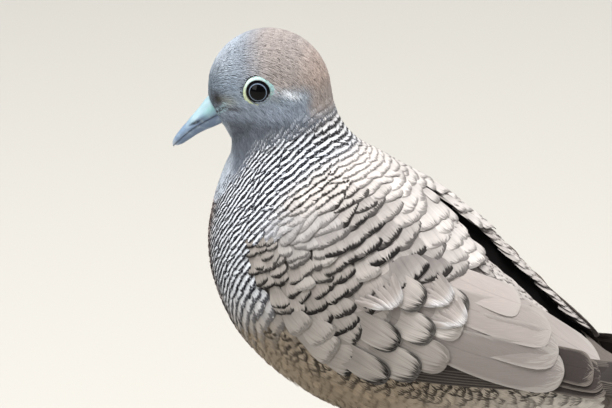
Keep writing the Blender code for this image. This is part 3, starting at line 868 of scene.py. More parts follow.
def homes(place, angle, low, high, left, right):
    """Where a feather's root lies on the unwrap of this part of the skin."""
    return dict(home_along=0.01 + 0.95 * np.clip((place - low) / (high - low), 0, 1),
                home_around=0.01 + 0.95 * np.clip((wrap(angle) - left) / (right - left), 0, 1))


def sided(moves, side):
    """Moves worked out on the left, for the side wanted."""
    lie, cross = moves
    return dict(lie=lie * (1, side), cross=cross * (1, side) * side)


def picked(values, chosen):
    """The rows chosen out of each of the values."""
    return {key: value[chosen] for key, value in values.items()}


def lid_reach(turn):
    """The outer reach of the bare ring for a direction, 0 being forward and 90 degrees up."""
    rear, front_low = np.cos(turn - math.radians(176)), np.cos(turn + math.radians(40))
    return 2.95 + 1.35 * np.clip(rear, 0, 1) ** 10 + 0.30 * np.clip(front_low, 0, 1) ** 4


def near_eye(place, angle, reach):
    """Whether a place on the head lies in the bare ring round the eye."""
    point = untwisted(place, angle)
    ahead, up = EYE_X - point[..., 0], point[..., 2] - EYE_Z
    limit = lid_reach(np.arctan2(up, ahead)) + reach
    return (np.hypot(ahead, up) < limit) & (np.abs(point[..., 1]) > 5)


def dress_head(material):
    """Head, throat and upper neck: feathers like short hairs."""
    def keep(place, angle):
        return (place < bars_begin(np.abs(angle)) + 0.45) & ~near_eye(place, angle, 0.06) & (place > 0.05)

    place, angle = scattered(keep, lambda places: 0.26 + 0.09 * eased(3, NAPE, places), tries=400000,
                             low=0.0, high=NAPE + 2.9)
    count = len(place)
    moves = directions(place, angle, np.zeros(count), rng.normal(0, 0.14, count))
    back = eased(1, NAPE, place)
    length = 1.8 + 1.5 * back + rng.normal(0, 0.2, count)
    ground = head_colour(place, angle)
    marks = plumage(count, ground, ground * 1.25, ground * 0.6, pale=0.5)
    where = homes(place, angle, 0, NAPE + 3.0, -180, 180)
    front = place < 4.4
    for name, chosen in (("coat_face", front), ("coat_crown", ~front)):
        coat = Coat(name, Vane(3, 2, shoulder=0.45, blunt=0.25, notch=0.0, root=0.5), patch=0.004)
        coat.add(place[chosen], angle[chosen], picked(marks, chosen), uneven=0.10, gap=1.6,
                 length=length[chosen], half=(0.15 + 0.09 * back)[chosen], root_lift=-0.28,
                 tip_lift=rng.normal(0.0, 0.016, count)[chosen], **picked(sided(moves, 1) | where, chosen))
        coat.build(material, "coat")


def add_row(neck, mantle, side, row, larger, step, shift):
    """One row of neck and mantle feathers on one side; larger tells how far they have grown, 0 to 1."""
    def spread(angles):
        return 2.2 + 4.8 * larger * eased(112, 92, angles)

    angle = along_row(lambda angles: row_place(row, angles), 0, 180, spread, shift)
    angle = np.clip(angle + rng.normal(0, 0.7, len(angle)), 0, 180)
    place = row_place(row, angle)
    slope = row_place(row, angle + 0.5) - row_place(row, angle - 0.5)
    station = row_at(place + 0.01, angle) - row_at(place, angle)
    gap = row_gap(place, angle, slope) * 0.01 / np.maximum(station, 1e-4) * step
    gap = np.clip(gap, 0.8, 4.6)
    uneven = rng.normal(0, 0.03 + 0.12 * larger, len(place))
    place = place + uneven / np.maximum(station * 100, 1) * step
    limit = np.where(np.abs(angle) < 98, SHOULDER + 2.65, SHOULDER + 2.3)
    kept = (place > bars_begin(angle) - 0.15) & (place < limit)
    kept &= (angle < scapular_edge(place)) | ~in_wing(place, angle, -4.0)
    kept &= ~((place > SHOULDER + 0.9) & (angle < open_edge(place, side) + 2.0))
    place, angle, slope, gap = place[kept], angle[kept], slope[kept], gap[kept]
    if not len(place):
        return
    moves = sided(directions(place, angle, slope, rng.normal(0, 0.06 + 0.05 * larger, len(place))), side)
    wide = spread(angle) * rng.uniform(0.9, 1.1, len(place))
    from_furrow = np.where(place > SHOULDER + 0.5, angle - open_edge(place, side), 90.0)
    wide = np.minimum(wide, 1.2 + 0.55 * np.maximum(from_furrow, 0))
    big = larger * (angle < 104)
    raised = np.where(in_wing(place, angle), wing_proud(place, angle), 0.0) * (angle < 104)
    loose = big * 0.6 * eased(SHOULDER + 1.4, SHOULDER + 2.6, place)
    loose = loose + big * 0.35 * eased(10, 3, scapular_edge(place) - angle)
    shape = dict(gap=gap, length=np.clip(gap * (3.3 - 0.3 * big), 3.4, 12), half=wide * (0.80 - 0.12 * big),
                 root_lift=-0.75 + 0.15 * big + 0.7 * raised, tip_lift=0.05 + 0.03 * big + raised + loose)
    shape |= moves | homes(place, angle, NAPE - 0.6, SHOULDER + 3.2, 0, 180)
    marks = body_marks(place, angle)
    for coat, chosen in ((neck, big < 0.25), (mantle, big >= 0.25)):
        if chosen.any():
            coat.add(place[chosen], angle[chosen] * side, picked(marks, chosen), **picked(shape, chosen))


def dress_rows(material):
    """Rows of feathers over hind neck, neck sides, breast, mantle and scapulars, larger to the rear."""
    first_row, last_fine, full_size, last_row = 19.0, 46.0, 66.0, 79.0
    for side, name in SIDES:
        neck = Coat(f"coat_neck_{name}", Vane(5, 8, shoulder=0.92, blunt=0.55, notch=0.08), patch=0.014)
        mantle = Coat(f"coat_mantle_{name}", Vane(10, 26, shoulder=0.90, blunt=0.44, notch=0.08), patch=0.024)
        row, k = first_row, 0
        while row < last_row:
            larger = eased(last_fine - 3, full_size, row)
            step = 1.32 + 1.8 * larger
            add_row(neck, mantle, side, row, larger, step, 0.5 if k % 2 else 0.02)
            row, k = row + step, k + 1
        neck.build(material, "coat")
        mantle.build(material, "coat")


def dress_belly(material):
    """Loose feathers on lower breast, flanks, belly, thighs and vent."""
    def keep(place, angle):
        size = np.abs(wrap(angle))
        under = size > wing_edges(np.clip(place, WING_FRONT, WING_END))[1] - 1.5
        behind = (place >= WING_END) & (size > 95)
        return (place > SHOULDER + 1.9) & ((under & (place < WING_END)) | behind)

    place, angle = scattered(keep, lambda places: 1.42 + 0 * places, tries=60000, low=SHOULDER + 1.5,
                             high=LAST)
    for side, name in SIDES:
        here, there = place[angle * side >= 0], angle[angle * side >= 0]
        count = len(here)
        moves = directions(here, there, side * 0.012, rng.normal(0, 0.12, count))
        length = 7.6 + 2.0 * eased(SHOULDER + 3, VENT + 1, here) + rng.normal(0, 0.6, count)
        coat = Coat(f"coat_belly_{name}", Vane(5, 10, shoulder=0.62, blunt=0.35, notch=0.16), patch=0.016)
        coat.add(here, there, belly_marks(here, there), length=length, half=1.7 + rng.normal(0, 0.15, count),
                 root_lift=-1.0, tip_lift=rng.normal(0.04, 0.03, count), gap=2.4, **sided(moves, 1),
                 **homes(here, np.abs(there), SHOULDER + 1.5, LAST, 60, 180))
        coat.build(material, "coat")


def dress_rump(material):
    """The feathers in the furrow between the wings, painted near-black as shade, and those of the rump and
    the tail coverts.
    """
    def keep(place, angle):
        angle = wrap(angle)
        floor = (angle < open_edge(place) + 2) & (angle > -open_edge(place, -1) - 2)
        return floor | (place > WING_END - 0.1) & (np.abs(angle) < 110)

    place, angle = scattered(keep, lambda places: 1.5 + 0 * places, tries=40000, low=SHOULDER + 0.9,
                             high=LAST)
    place = place + 0.35 * eased(LAST - 1.2, LAST, place)
    count = len(place)
    moves = directions(place, angle, np.zeros(count), rng.normal(0, 0.10, count))
    open_rump = past_furrow(place)
    sink = -4.2 * (1 - open_rump) * eased(SHOULDER + 0.4, SHOULDER + 1.1, place)
    # Painted shade: the furrow's feathers are near black, turning to the rump's brown behind the wings.
    ground = blend(FURROW_SHADE, RUMP_BROWN, open_rump)
    marks = plumage(count, ground, ground * 1.5, ground * 0.4, dark=0.5 * open_rump, pale=0.3 * open_rump,
                    share=0.15)
    coat = Coat("coat_rump", Vane(7, 8, shoulder=0.6, blunt=0.35, notch=0.06), patch=0.014)
    coat.add(place, angle, marks, length=6.5 + 7.0 * eased(WING_END, LAST, place), half=1.75, gap=3.0,
             root_lift=sink - 0.9, tip_lift=sink + 0.15, **sided(moves, 1),
             **homes(place, angle, SHOULDER + 1.2, LAST, -110, 110))
    coat.build(material, "coat")


def dress_wing(material):
    """Lesser and median wing coverts in rows, each feather with a dark bar at its tip."""
    row_slope, first_place, last_place = 0.008, SHOULDER - 0.15, SHOULDER + 2.95
    for side, name in SIDES:
        coat = Coat(f"coverts_{name}", Vane(10, 22, shoulder=0.88, blunt=0.42, notch=0.08), patch=0.030)
        start, k = first_place, 0
        while start < last_place:
            rear = eased(SHOULDER + 0.2, last_place, start)
            step = (1.7 + 2.2 * rear) / row_gap(np.array([start]), np.array([100.0]), row_slope)[0]
            add_covert_row(coat, side, start, row_slope, rear, step, 0.5 if k % 2 else 0.0, last_place)
            start, k = start + step, k + 1
        coat.build(material, "wing")


def add_covert_row(coat, side, start, row_slope, rear, step, shift, last_place):
    """One row of coverts; rear tells how far back it lies on the wing, 0 to 1."""
    def place_of(angles):
        return start + row_slope * (angles - 100)

    def spread(angles):
        return 2.3 + 3.3 * rear + 0 * angles

    angle = along_row(place_of, 20, 140, spread, shift)
    angle = angle + rng.normal(0, 1.2, len(angle))
    place = place_of(angle) + rng.normal(0, 0.05, len(angle))
    slope = row_slope + 0.018 * eased(SHOULDER + 1.5, SHOULDER + 2.6, place) * eased(72, 92, angle)
    kept = in_wing(place, angle, -1.5) & (angle > scapular_edge(place) - 5)
    place, angle, slope = place[kept], angle[kept], slope[kept]
    count = len(place)
    if not count:
        return
    gap = np.clip(row_gap(place, angle, row_slope) * step, 1.5, 5.5)
    moves = directions(place, angle, slope, rng.normal(0, 0.09, count))
    soft = eased(SHOULDER + 1.1, SHOULDER + 0.1, place) * eased(116, 100, angle)
    ruffled = rng.uniform(0, 1, count) < 0.06 + 0.12 * rear
    tint = rng.uniform(0, 0.35, count) + 0.4 * ruffled
    # Painted light: coverts higher on the side blend to the lighter tan, and lower ones stay darker.
    ground = layered(COVERT_TAN, (
        (TOP_LIT_TAN, eased(98, 72, angle)), (COVERT_PALE, tint), (FRONT_GREY, 0.7 * soft)))
    dark = np.where(ruffled, 0.5, rng.uniform(0.93, 1.0, count)) * (1 - 0.5 * soft)
    share = 0.20 + 0.16 * rng.uniform(0, 1, count)
    marks = plumage(count, ground, COVERT_PALE, COVERT_BAR, dark=dark, pale=0.6, share=share, width=0.25,
                    fringe=0.25 * ruffled)
    proud = wing_proud(place, angle)
    coat.add(place, angle * side, marks, gap=gap, length=np.clip(gap * 2.5, 5.5, 13),
             half=spread(angle) * 0.66, root_lift=-0.6 + proud * 0.85, tip_lift=0.05 + proud + 0.2 * ruffled,
             **sided(moves, side), **homes(place, angle, WING_FRONT - 0.3, last_place + 0.4, 40, 140))


# Ruffled white tufts among the coverts, as station and angle.
TUFTS = ((SHOULDER + 2.03, 78.0), (SHOULDER + 2.95, 63.0), (SHOULDER + 2.45, 60.0))
TUFT_FEATHERS = 11


def add_ridge_line(coat, side, k):
    """One line of small ruffled feathers, the k-th from a wing's upper edge."""
    first, last = SHOULDER + 1.3 + 0.11 * (k % 2), WING_END - 0.95 - (0.12 if k < 4 else 0.4) * k
    place = np.arange(first, last, 0.22)
    count = len(place)
    place = place + rng.normal(0, 0.03, count)
    angle = open_edge(place, side) + 2.6 + 2.9 * k + rng.normal(0, 0.5, count)
    moves = directions(place, angle, 0.0, rng.normal(-0.06, 0.12, count))
    tint = rng.uniform(0, 1, count)
    ground = blend(TERTIAL_TAN, MANTLE_TAN, 0.2 + 0.6 * tint)
    marks = plumage(count, ground, MANTLE_TAN, MANTLE_BAR, dark=0.45 * (tint < 0.35), pale=0.6, share=0.16,
                    width=0.4)
    proud = wing_proud(place, angle)
    coat.add(place, angle * side, marks, gap=2.2, length=5.2, half=1.45, root_lift=-0.8 + 0.5 * proud,
             tip_lift=0.05 + proud * 0.9, **sided(moves, side),
             **homes(place, angle, WING_FRONT, WING_END, 0, 40))


def add_tuft(coat, side, station, angle):
    """A fan of narrow white feathers that stand out from the coverts."""
    fanned = np.linspace(-1, 1, TUFT_FEATHERS)
    place, angle = station + 0.10 * (1 - fanned**2), angle + 4.2 * fanned
    moves = directions(place, angle, 0.018, -0.5 * fanned + rng.normal(0, 0.06, TUFT_FEATHERS))
    # The tufts' ground is the tan that is painted lighter for light from above.
    marks = plumage(TUFT_FEATHERS, TOP_LIT_TAN, BAR_WHITE, COVERT_BAR, pale=0.7, width=0.6, fringe=0.3)
    proud = wing_proud(place, angle)
    coat.add(place, angle * side, marks, uneven=0.14, gap=2.2, length=5.6, half=0.62, root_lift=proud + 0.4,
             tip_lift=proud + 1.15, **sided(moves, side), **homes(place, angle, WING_FRONT, WING_END, 0, 140))


def dress_ridge(material):
    """Small ruffled feathers along the upper edge of each folded wing, and white tufts among the coverts."""
    for side, name in SIDES:
        coat = Coat(f"wing_ridge_{name}", Vane(5, 6, shoulder=0.5, blunt=0.3, notch=0.14), patch=0.016)
        for k in range(6):
            add_ridge_line(coat, side, k)
        for station, angle in TUFTS:
            add_tuft(coat, side, station, angle)
        coat.build(material, "wing")


class Fan:
    """Large feathers for one piece, each along its own path."""

    def __init__(self, name, vane):
        self.name, self.vane = name, vane
        self.points, self.specs = [], []

    def add(self, path, outward, half, camber=0.10, thick=0.16, **spec):
        """A feather along a path of points, spread square to an outward direction at each of them."""
        vane = self.vane
        last = len(path) - 1
        where = vane.along * last
        ahead = spline(path, np.clip(where + 0.05, 0, last)) - spline(path, np.clip(where - 0.05, 0, last))
        cross = unit(np.cross(ahead, spline(outward, where)))
        out = unit(np.cross(cross, ahead))
        swell = camber * half * (1 - vane.side**2) - thick * vane.under
        self.points.append(spline(path, where) + cross * (vane.across * half)[:, None] + out * swell[:, None])
        self.specs.append(spec)

    def lay(self, side, root, tip, half, lift, bow=0.0, **spec):
        """A feather laid on the form from root to tip, given as station and angle, at two lifts."""
        share = np.linspace(0, 1, 6)
        place = root[0] + (tip[0] - root[0]) * share
        angle = root[1] + (tip[1] - root[1]) * share + bow * np.sin(share * np.pi)
        rise = lift[0] + (lift[1] - lift[0]) * share + wing_proud(place, angle)
        normal = tangents(np.clip(place, 0, LAST - 0.01), angle * side)[2]
        self.add(form(place, angle * side, rise), normal, half, **spec)

    def build(self, material, slot, columns, *nodes):
        """Makes the piece, with each feather in its own field of the OFBake map."""
        vane, count = self.vane, len(self.specs)
        each = np.repeat(np.arange(count), len(vane.along))
        plain = dict(ground=TERTIAL_TAN, light=TERTIAL_EDGE, bar=COVERT_BAR, dark=0.0, pale=0.0, share=0.1,
                     width=0.3, fringe=0.5, repeat=0.0)
        marks = {key: np.array([spec.get(key, value) for spec in self.specs]) for key, value in plain.items()}
        units = np.array([spec.get("units", 1.6) for spec in self.specs])
        lines = math.ceil(count / columns)
        home = np.c_[np.arange(count) % columns / columns, np.arange(count) // columns / lines][each]
        across, along = np.tile(vane.across, count), np.tile(vane.along, count)
        local = np.c_[(across * 0.46 + 0.48) / columns, along * 0.94 / lines]
        feathered(self.name, vane, np.concatenate(self.points), marks, np.linspace(0.05, 0.95, count),
                  np.tile(vane.depth, count) * units[each], home + local + 0.004, material, slot, *nodes)


def dress_tertials(material):
    """The long soft feathers that cover the folded flight feathers, from the ridge down, layer on layer."""
    vane = Vane(20, 12, shoulder=0.84, blunt=0.30, notch=0.0, root=0.6)
    # The lightness is painted light: layers lying higher toward the back are made lighter, as lit from above.
    layers = (  # root, tip, half width, lifts, lightness
        ((SHOULDER + 1.6, 34), (VENT - 0.15, 29), 4.6, (-1.2, -0.10), 1.45),
        ((SHOULDER + 2.0, 84), (VENT - 0.80, 56), 4.8, (-0.05, 0.62), 1.02),
        ((SHOULDER + 1.9, 74), (VENT - 1.22, 44), 4.6, (0.0, 0.80), 1.18),
        ((SHOULDER + 1.8, 66), (VENT - 1.65, 35), 4.4, (0.15, 0.96), 1.42),
        ((SHOULDER + 1.5, 52), (VENT - 2.55, 34), 3.7, (-0.20, 1.08), 1.75))
    for side, name in SIDES:
        fan = Fan(f"tertial_feathers_{name}", vane)
        for root, tip, half, lift, tone in layers:
            fan.lay(side, root, tip, half, lift, bow=1.5, camber=half / 75, ground=TERTIAL_TAN * tone,
                    light=TERTIAL_EDGE, fringe=0.75, units=1.3)
        fan.build(material, "wing", 3)


def dress_greater_coverts(material):
    """Greater coverts and the rearmost scapulars, broad and rounded."""
    vane = Vane(14, 28, shoulder=0.82, blunt=0.36, notch=0.035, root=0.5)
    row = (  # tip, heading in stations and degrees from root to tip, half width, bar, pale
        ((SHOULDER + 3.25, 102), (1.4, -9), 3.0, 1.0, 0.3),
        ((SHOULDER + 3.42, 92), (1.5, -10), 3.5, 0.9, 0.5),
        ((SHOULDER + 3.52, 82), (1.6, -11), 3.5, 0.3, 0.2),
        ((SHOULDER + 2.78, 88), (1.3, -9), 3.0, 1.0, 0.3),
        ((SHOULDER + 2.95, 76), (1.4, -10), 3.1, 0.9, 0.7),
        ((SHOULDER + 3.15, 66), (1.5, -11), 3.0, 0.3, 0.9),
        ((SHOULDER + 2.85, 56), (1.4, -10), 3.0, 0.9, 0.6),
        ((SHOULDER + 2.30, 68), (1.3, -8), 3.2, 0.95, 0.4))
    for side, name in SIDES:
        fan = Fan(f"greater_coverts_{name}", vane)
        for k, (tip, heading, half, dark, pale) in enumerate(row):
            root = (tip[0] - heading[0], tip[1] - heading[1])
            # Painted light: coverts tipped higher on the side are lighter.
            ground = blend(COVERT_TAN, TOP_LIT_TAN, eased(98, 50, tip[1]))
            ground = blend(ground, COVERT_PALE, 0.1 + 0.35 * pale)
            fan.lay(side, root, tip, half, (-0.8, 0.62 + 0.05 * k), camber=half / 60, ground=ground,
                    light=MANTLE_CREAM, bar=COVERT_BAR, dark=dark, pale=pale, share=0.24, width=0.45,
                    fringe=0.1, units=3.0)
        fan.build(material, "wing", 4)


def evenly(path, outward):
    """A path and its outward directions at points evenly spaced along it."""
    travel = np.r_[0, np.cumsum(np.linalg.norm(np.diff(path, axis=0), axis=1))]
    even = np.linspace(0, travel[-1], 14)

    def spaced(values):
        return np.stack([np.interp(even, travel, column) for column in values.T], 1)

    return spaced(path), spaced(outward)


def quill_path(side, k):
    """The path of the k-th blade from the top: over the body, then free beside the tail."""
    places = np.linspace(SHOULDER + 2.7 + 0.15 * k, VENT - 0.2, 7)
    angles = wing_edges(places)[1] - 4.0 - 2.1 * k
    on_body = form(places, angles * side, wing_proud(places, angles) - 0.80 + 0.12 * k)
    near, far = 3.0, 22.5 - 2.8 * k
    travel = (far - near) * np.array((0.15, 0.55, 1.0))
    aside = -side * (10.3 - 0.15 * travel + 0.17 * k)
    free = np.stack((near + travel, aside, 31.4 + 0.30 * k - 0.10 * travel), 1)
    normal = tangents(np.clip(places, 0, LAST - 0.01), angles * side)[2]
    outward = np.tile((0.0, -side * 0.95, 0.35), (len(free), 1))
    return evenly(np.concatenate((on_body, free)), np.concatenate((normal, outward)))


def dress_quills(material):
    """Flight feathers: a stack of long dark blades, each lower one deeper, free of the body at their tips."""
    vane = Vane(34, 8, shoulder=0.82, blunt=0.12, notch=0.0, root=0.8)
    tips = (  # root, tip, half width
        ((VENT - 1.5, 66), (VENT + 0.26, 54), 3.3),
        ((VENT - 1.6, 60), (VENT + 0.10, 48), 3.6),
        ((VENT - 1.7, 55), (VENT - 0.22, 45), 3.8))
    for side, name in SIDES:
        fan = Fan(f"quill_feathers_{name}", vane)
        for k in range(7):
            path, outward = quill_path(side, k)
            fan.add(path, outward, 2.5, camber=0.02, thick=0.07, ground=QUILL_BROWN * (1 + 0.1 * (k % 2)),
                    light=QUILL_EDGE, fringe=0.6, units=1.4)
        for k, (root, tip, half) in enumerate(tips):
            fan.lay(side, root, tip, half, (-0.35, 0.40 + 0.06 * k), camber=half / 60,
                    ground=QUILL_BROWN * (1.1 + 0.12 * k), light=QUILL_EDGE, fringe=0.7, units=1.4)
        fan.build(material, "flight", 4, f"quills_{name}")


def dress_tail(material):
    """Twelve tail feathers in a graduated fan, the middle pair on top and the outer ones tipped white."""
    lengths, root = (83.0, 78.0, 71.0, 64.0, 57.0, 50.0), np.array((9.9, 0.0, 27.9))
    cosine, sine = math.cos(TAIL_DROOP), math.sin(TAIL_DROOP)
    middle, inner, outer = srgb(134, 120, 110), srgb(96, 86, 80), srgb(40, 36, 36)
    white, pale_edge = srgb(236, 233, 228), srgb(150, 136, 124)
    fan = Fan("tail_feathers", Vane(26, 8, shoulder=0.88, blunt=0.3, notch=0.0, root=0.6))
    for pair, length in reversed(list(enumerate(lengths))):
        tipped = pair > 2
        ground = middle if pair == 0 else (outer if tipped else inner)
        for side, _ in SIDES:
            share = np.linspace(-0.07, 1, 6)
            out = (1.0 + 1.15 * pair) * (0.55 + 0.45 * eased(0, 0.5, share))
            out = out - 0.9 * eased(0.5, 1, share) * (pair < 1)
            x, y = share * length, -side * out
            z = -0.42 * pair - 0.06 * (side < 0) - 0.02 * out**2 + 0.3
            path = np.stack((root[0] + x * cosine + z * sine, y, root[2] - x * sine + z * cosine), 1)
            outward = np.tile((sine, -side * 0.05 * pair, cosine), (len(share), 1))
            fan.add(path, outward, 4.2, camber=0.05, ground=ground, light=white if tipped else pale_edge,
                    pale=0.95 if tipped else 0.0, share=0.0, width=0.30, fringe=0.1 if tipped else 0.5,
                    units=1.6)
    fan.build(material, "flight", 4, "tail_middle", "tail_inner", "tail_outer")


# ---------------------------------------------------------------------------------------------
# Skin, bill, eyes and legs.
def make_skin():
    """The skin: one closed form under the plumage, sunken along the furrow between the wings."""
    def shape(share, turn):
        place = share * (LAST - 1e-3)
        angle = turn * 360 - 180
        hollow = 4.6 * eased(SHOULDER + 0.5, SHOULDER + 1.2, place) * (1 - past_furrow(place))
        edge = np.where(angle > 0, open_edge(place), open_edge(place, -1))
        hollow = hollow * eased(edge + 3, edge - 3, np.abs(angle))
        thin = 0.5 * eased(NAPE + 2.0, NAPE, place)
        return form(place, angle, -COAT_DEPTH + thin - hollow)

    skin = rolled("skin", 150, 96, shape)
    bpy.context.view_layer.objects.active = skin
    bpy.ops.object.mode_set(mode="EDIT")
    bpy.ops.mesh.select_all(action="SELECT")
    bpy.ops.mesh.region_to_loop()
    bpy.ops.mesh.edge_face_add()
    bpy.ops.mesh.select_all(action="SELECT")
    bpy.ops.mesh.normals_make_consistent(inside=False)
    bpy.ops.object.mode_set(mode="OBJECT")
    return skin


def search_tree(points):
    """A tree that finds the nearest of some points by number."""
    tree = KDTree(len(points))
    for k, point in enumerate(points):
        tree.insert(point, k)
    tree.balance()
    return tree


def paint_skin(skin):
    """The plumage's colours on the skin, found from the nearest place of the form."""
    grid = np.meshgrid(np.linspace(0, LAST - 0.01, 160), np.linspace(-179, 179, 120), indexing="ij")
    places, angles = [values.ravel() for values in grid]
    tree = search_tree(form(places, angles, np.full(places.shape, -COAT_DEPTH)))
    points = in_millimetres(skin)
    nearest = np.array([tree.find(point)[1] for point in points])
    place, angle = places[nearest], angles[nearest]
    size = np.abs(angle)
    marks = body_marks(place, angle)
    under = belly_marks(place, angle)["ground"]
    rear = eased(SHOULDER + 1.4, SHOULDER + 2.2, place)
    furrow = eased(SHOULDER + 0.5, SHOULDER + 0.8, place) * (1 - past_furrow(place)) * (size < 26)
    folded = in_wing(place, angle, 2.0)
    head = place < NAPE
    ground = layered(marks["ground"], (
        (under, rear * (size > 85)),
        (RUMP_BROWN, eased(WING_END - 0.6, WING_END, place) * eased(112, 98, size))))
    # Painted shade on the skin along the furrow between the wings.
    ground = blend(np.where(folded[:, None], COVERT_TAN, ground), FURROW_SHADE * 0.4, furrow)
    ground = np.where(head[:, None], head_colour(np.minimum(place, NAPE), angle), ground)
    barred = (1 - rear) * ~head * ~folded * (1 - furrow)
    marks.update(ground=ground * 0.8, light=marks["light"] * 0.8, dark=marks["dark"] * barred,
                 pale=marks["pale"] * barred, repeat=np.ones(len(points)), fringe=0 * place)
    marked(skin.data, marks, np.full(len(points), 0.5), np.arange(len(points)))
    loops = np.empty(len(skin.data.loops), dtype=int)
    skin.data.loops.foreach_get("vertex_index", loops)
    mapped(skin.data, "vane", np.c_[0.4 + 0.3 * np.sin(angle / 3), row_at(place, angle) / -1.32], loops)


def eye_centre(side):
    """The middle of an eye."""
    return turned(np.array((EYE_X, -side * EYE_OUT, EYE_Z)))


def eye_axes(side):
    """Forward, up and outward at an eye, as unit vectors."""
    turn = math.radians(HEAD_YAW)
    forward = np.array((-math.cos(turn), -math.sin(turn), 0.0))
    outward = turned(np.array((NECK_AXIS_X, -side, 0.0))) - turned(np.array((NECK_AXIS_X, 0.0, 0.0)))
    return forward, np.array((0.0, 0.0, 1.0)), outward


def head_side(ahead, up):
    """How far out the head's side lies at places given from the eye, forward and up."""
    place, angle = np.meshgrid(np.linspace(1, NAPE, 90), np.linspace(45, 150, 90), indexing="ij")
    samples = untwisted(place.ravel(), angle.ravel())
    tree = search_tree(samples * (1, 0, 1))
    nearest = [tree.find_n((EYE_X - a, 0.0, EYE_Z + u), 4) for a, u in zip(ahead, up)]
    return np.array([sum(-samples[k][1] for _, k, _ in found) / 4 for found in nearest])


# The bare eye ring's colours, and the reach of its opening from the eye's middle.
RING_BLUE, RING_PALE, RING_YELLOW = srgb(150, 184, 184), srgb(200, 222, 214), srgb(206, 214, 168)
RING_REAR, RING_LIP = srgb(196, 224, 226), srgb(30, 34, 40)
OPENING = 2.42


def make_lids(side, name):
    """The bare ring: a lip round the eye, running out to the feathers, with fine folds."""
    forward, up, outward = eye_axes(side)
    centre = eye_centre(side)

    def shape(share, turn):
        direction, section = share * 2 * np.pi, turn * 2 * np.pi
        outer = lid_reach(direction) + 0.12
        middle, half = (OPENING + outer) / 2, (outer - OPENING) / 2
        radius = middle - half * np.cos(section)
        slope = np.clip((radius - OPENING) / (outer - OPENING), 0, 1)
        ahead, above = radius * np.cos(direction), radius * np.sin(direction)
        at_eye = math.sqrt(EYE_RADIUS**2 - OPENING**2) + 0.12
        at_rim = head_side(outer * np.cos(direction), outer * np.sin(direction)) - EYE_OUT - 0.28
        level = at_eye + (at_rim - at_eye) * slope**0.9
        level = np.maximum(level, np.sqrt(np.maximum(EYE_RADIUS**2 - radius**2, 0)) + 0.06)
        folds = 0.04 * np.sin(slope * 17 + 1.4 * np.sin(direction * 4))
        folds = folds + 0.03 * np.sin(direction * 21 + slope * 5)
        lip = 0.16 * np.exp(-(slope / 0.22) ** 2)
        outside = np.sin(section)
        level = level + np.where(outside > 0, 0.10 * outside + folds * outside + lip, -0.5)
        return centre + forward * ahead[:, None] + up * above[:, None] + outward * level[:, None]

    ring = rolled(f"lids_{name}", 96, 28, shape)
    local = in_millimetres(ring) - centre
    ahead, above = local @ forward, local @ up
    reach, direction = np.hypot(ahead, above), np.arctan2(above, ahead)
    paint(ring.data, "tint", layered(RING_BLUE, (
        (RING_PALE, eased(2.2, 0.6, direction) * eased(-3.2, -2.2, ahead + above)),
        (RING_YELLOW, 0.85 * eased(0.1, 0.8, np.cos(direction + math.radians(48)))),
        (RING_REAR, eased(3.1, 3.7, reach) * eased(0.3, 0.8, -np.cos(direction))),
        (RING_LIP, 0.8 * eased(2.62, 2.46, reach)))))
    return ring


def make_eye(side, name, material):
    """The eyeball, with its poles on the line of sight and its front a little fuller."""
    bpy.ops.object.select_all(action="DESELECT")
    centre = eye_centre(side) * MM + ORIGIN
    bpy.ops.mesh.primitive_uv_sphere_add(segments=64, ring_count=48, radius=(EYE_RADIUS - 0.05) * MM)
    obj = bpy.context.object
    obj.name = f"eyeball_{name}"
    forward, up, outward = eye_axes(side)
    local = get_points(obj)
    radius = np.hypot(local[:, 0], local[:, 1]) / MM
    bulge = 1 + 0.05 * np.exp(-((radius / 1.9) ** 2)) * (local[:, 2] > 0)
    local = local * bulge[:, None]
    set_points(obj, centre + forward * local[:, :1] + up * local[:, 1:2] + outward * local[:, 2:])
    close_up(obj, 1e-7)
    behind = 9.0
    rims = obj.data.attributes.new("rim", "FLOAT", "POINT")
    rims.data.foreach_set("value", np.where(local[:, 2] > 0, radius, behind).astype(np.float32))
    finished(obj, material, "eye", f"eye_{name}")


# The bill: its root and its pitch, its outline along the axis, and its colours.
BILL_ROOT, BILL_PITCH = (-84.2, 85.6), math.radians(38.0)
BILL_PROFILE = np.array((  # reach, culmen, mouth, keel, half width
    (-3.0, 2.9, -1.70, -3.3, 2.5), (-1.2, 2.8, -1.40, -3.3, 2.6), (0.3, 2.55, -1.10, -3.2, 2.45),
    (2.0, 2.05, -0.90, -2.9, 2.2), (3.9, 1.62, -0.70, -2.45, 1.85), (5.9, 1.22, -0.62, -2.12, 1.5),
    (8.1, 0.66, -0.70, -2.02, 1.28), (9.7, 0.20, -0.84, -1.90, 1.05), (10.8, -0.25, -1.05, -1.55, 0.75),
    (11.6, -0.95, -1.35, -1.30, 0.28)))
UPPER_END, LOWER_END = 9.0, 8.35
BILL_BLUE, BILL_SHADE, CERE = srgb(134, 158, 184), srgb(112, 130, 156), srgb(152, 198, 200)
CULMEN, BILL_SWELL_SHADE, BILL_TIP = srgb(172, 202, 210), srgb(98, 116, 142), srgb(196, 206, 214)
MOUTH_LINE, NOSTRIL = srgb(58, 70, 92), srgb(14, 18, 26)


def on_bill(reach, aside, height):
    """Points given along, across and above the bill's axis."""
    x = BILL_ROOT[0] - math.cos(BILL_PITCH) * reach - math.sin(BILL_PITCH) * height
    z = BILL_ROOT[1] - math.sin(BILL_PITCH) * reach + math.cos(BILL_PITCH) * height
    return turned(np.stack((x, aside + 0 * x, z), -1))


def from_bill(points):
    """How far points lie along and above the bill's axis."""
    turn = math.radians(-HEAD_YAW)
    x = math.cos(turn) * (points[:, 0] - NECK_AXIS_X) - math.sin(turn) * points[:, 1]
    x = x + NECK_AXIS_X - BILL_ROOT[0]
    z = points[:, 2] - BILL_ROOT[1]
    reach = -math.cos(BILL_PITCH) * x - math.sin(BILL_PITCH) * z
    return reach, -math.sin(BILL_PITCH) * x + math.cos(BILL_PITCH) * z


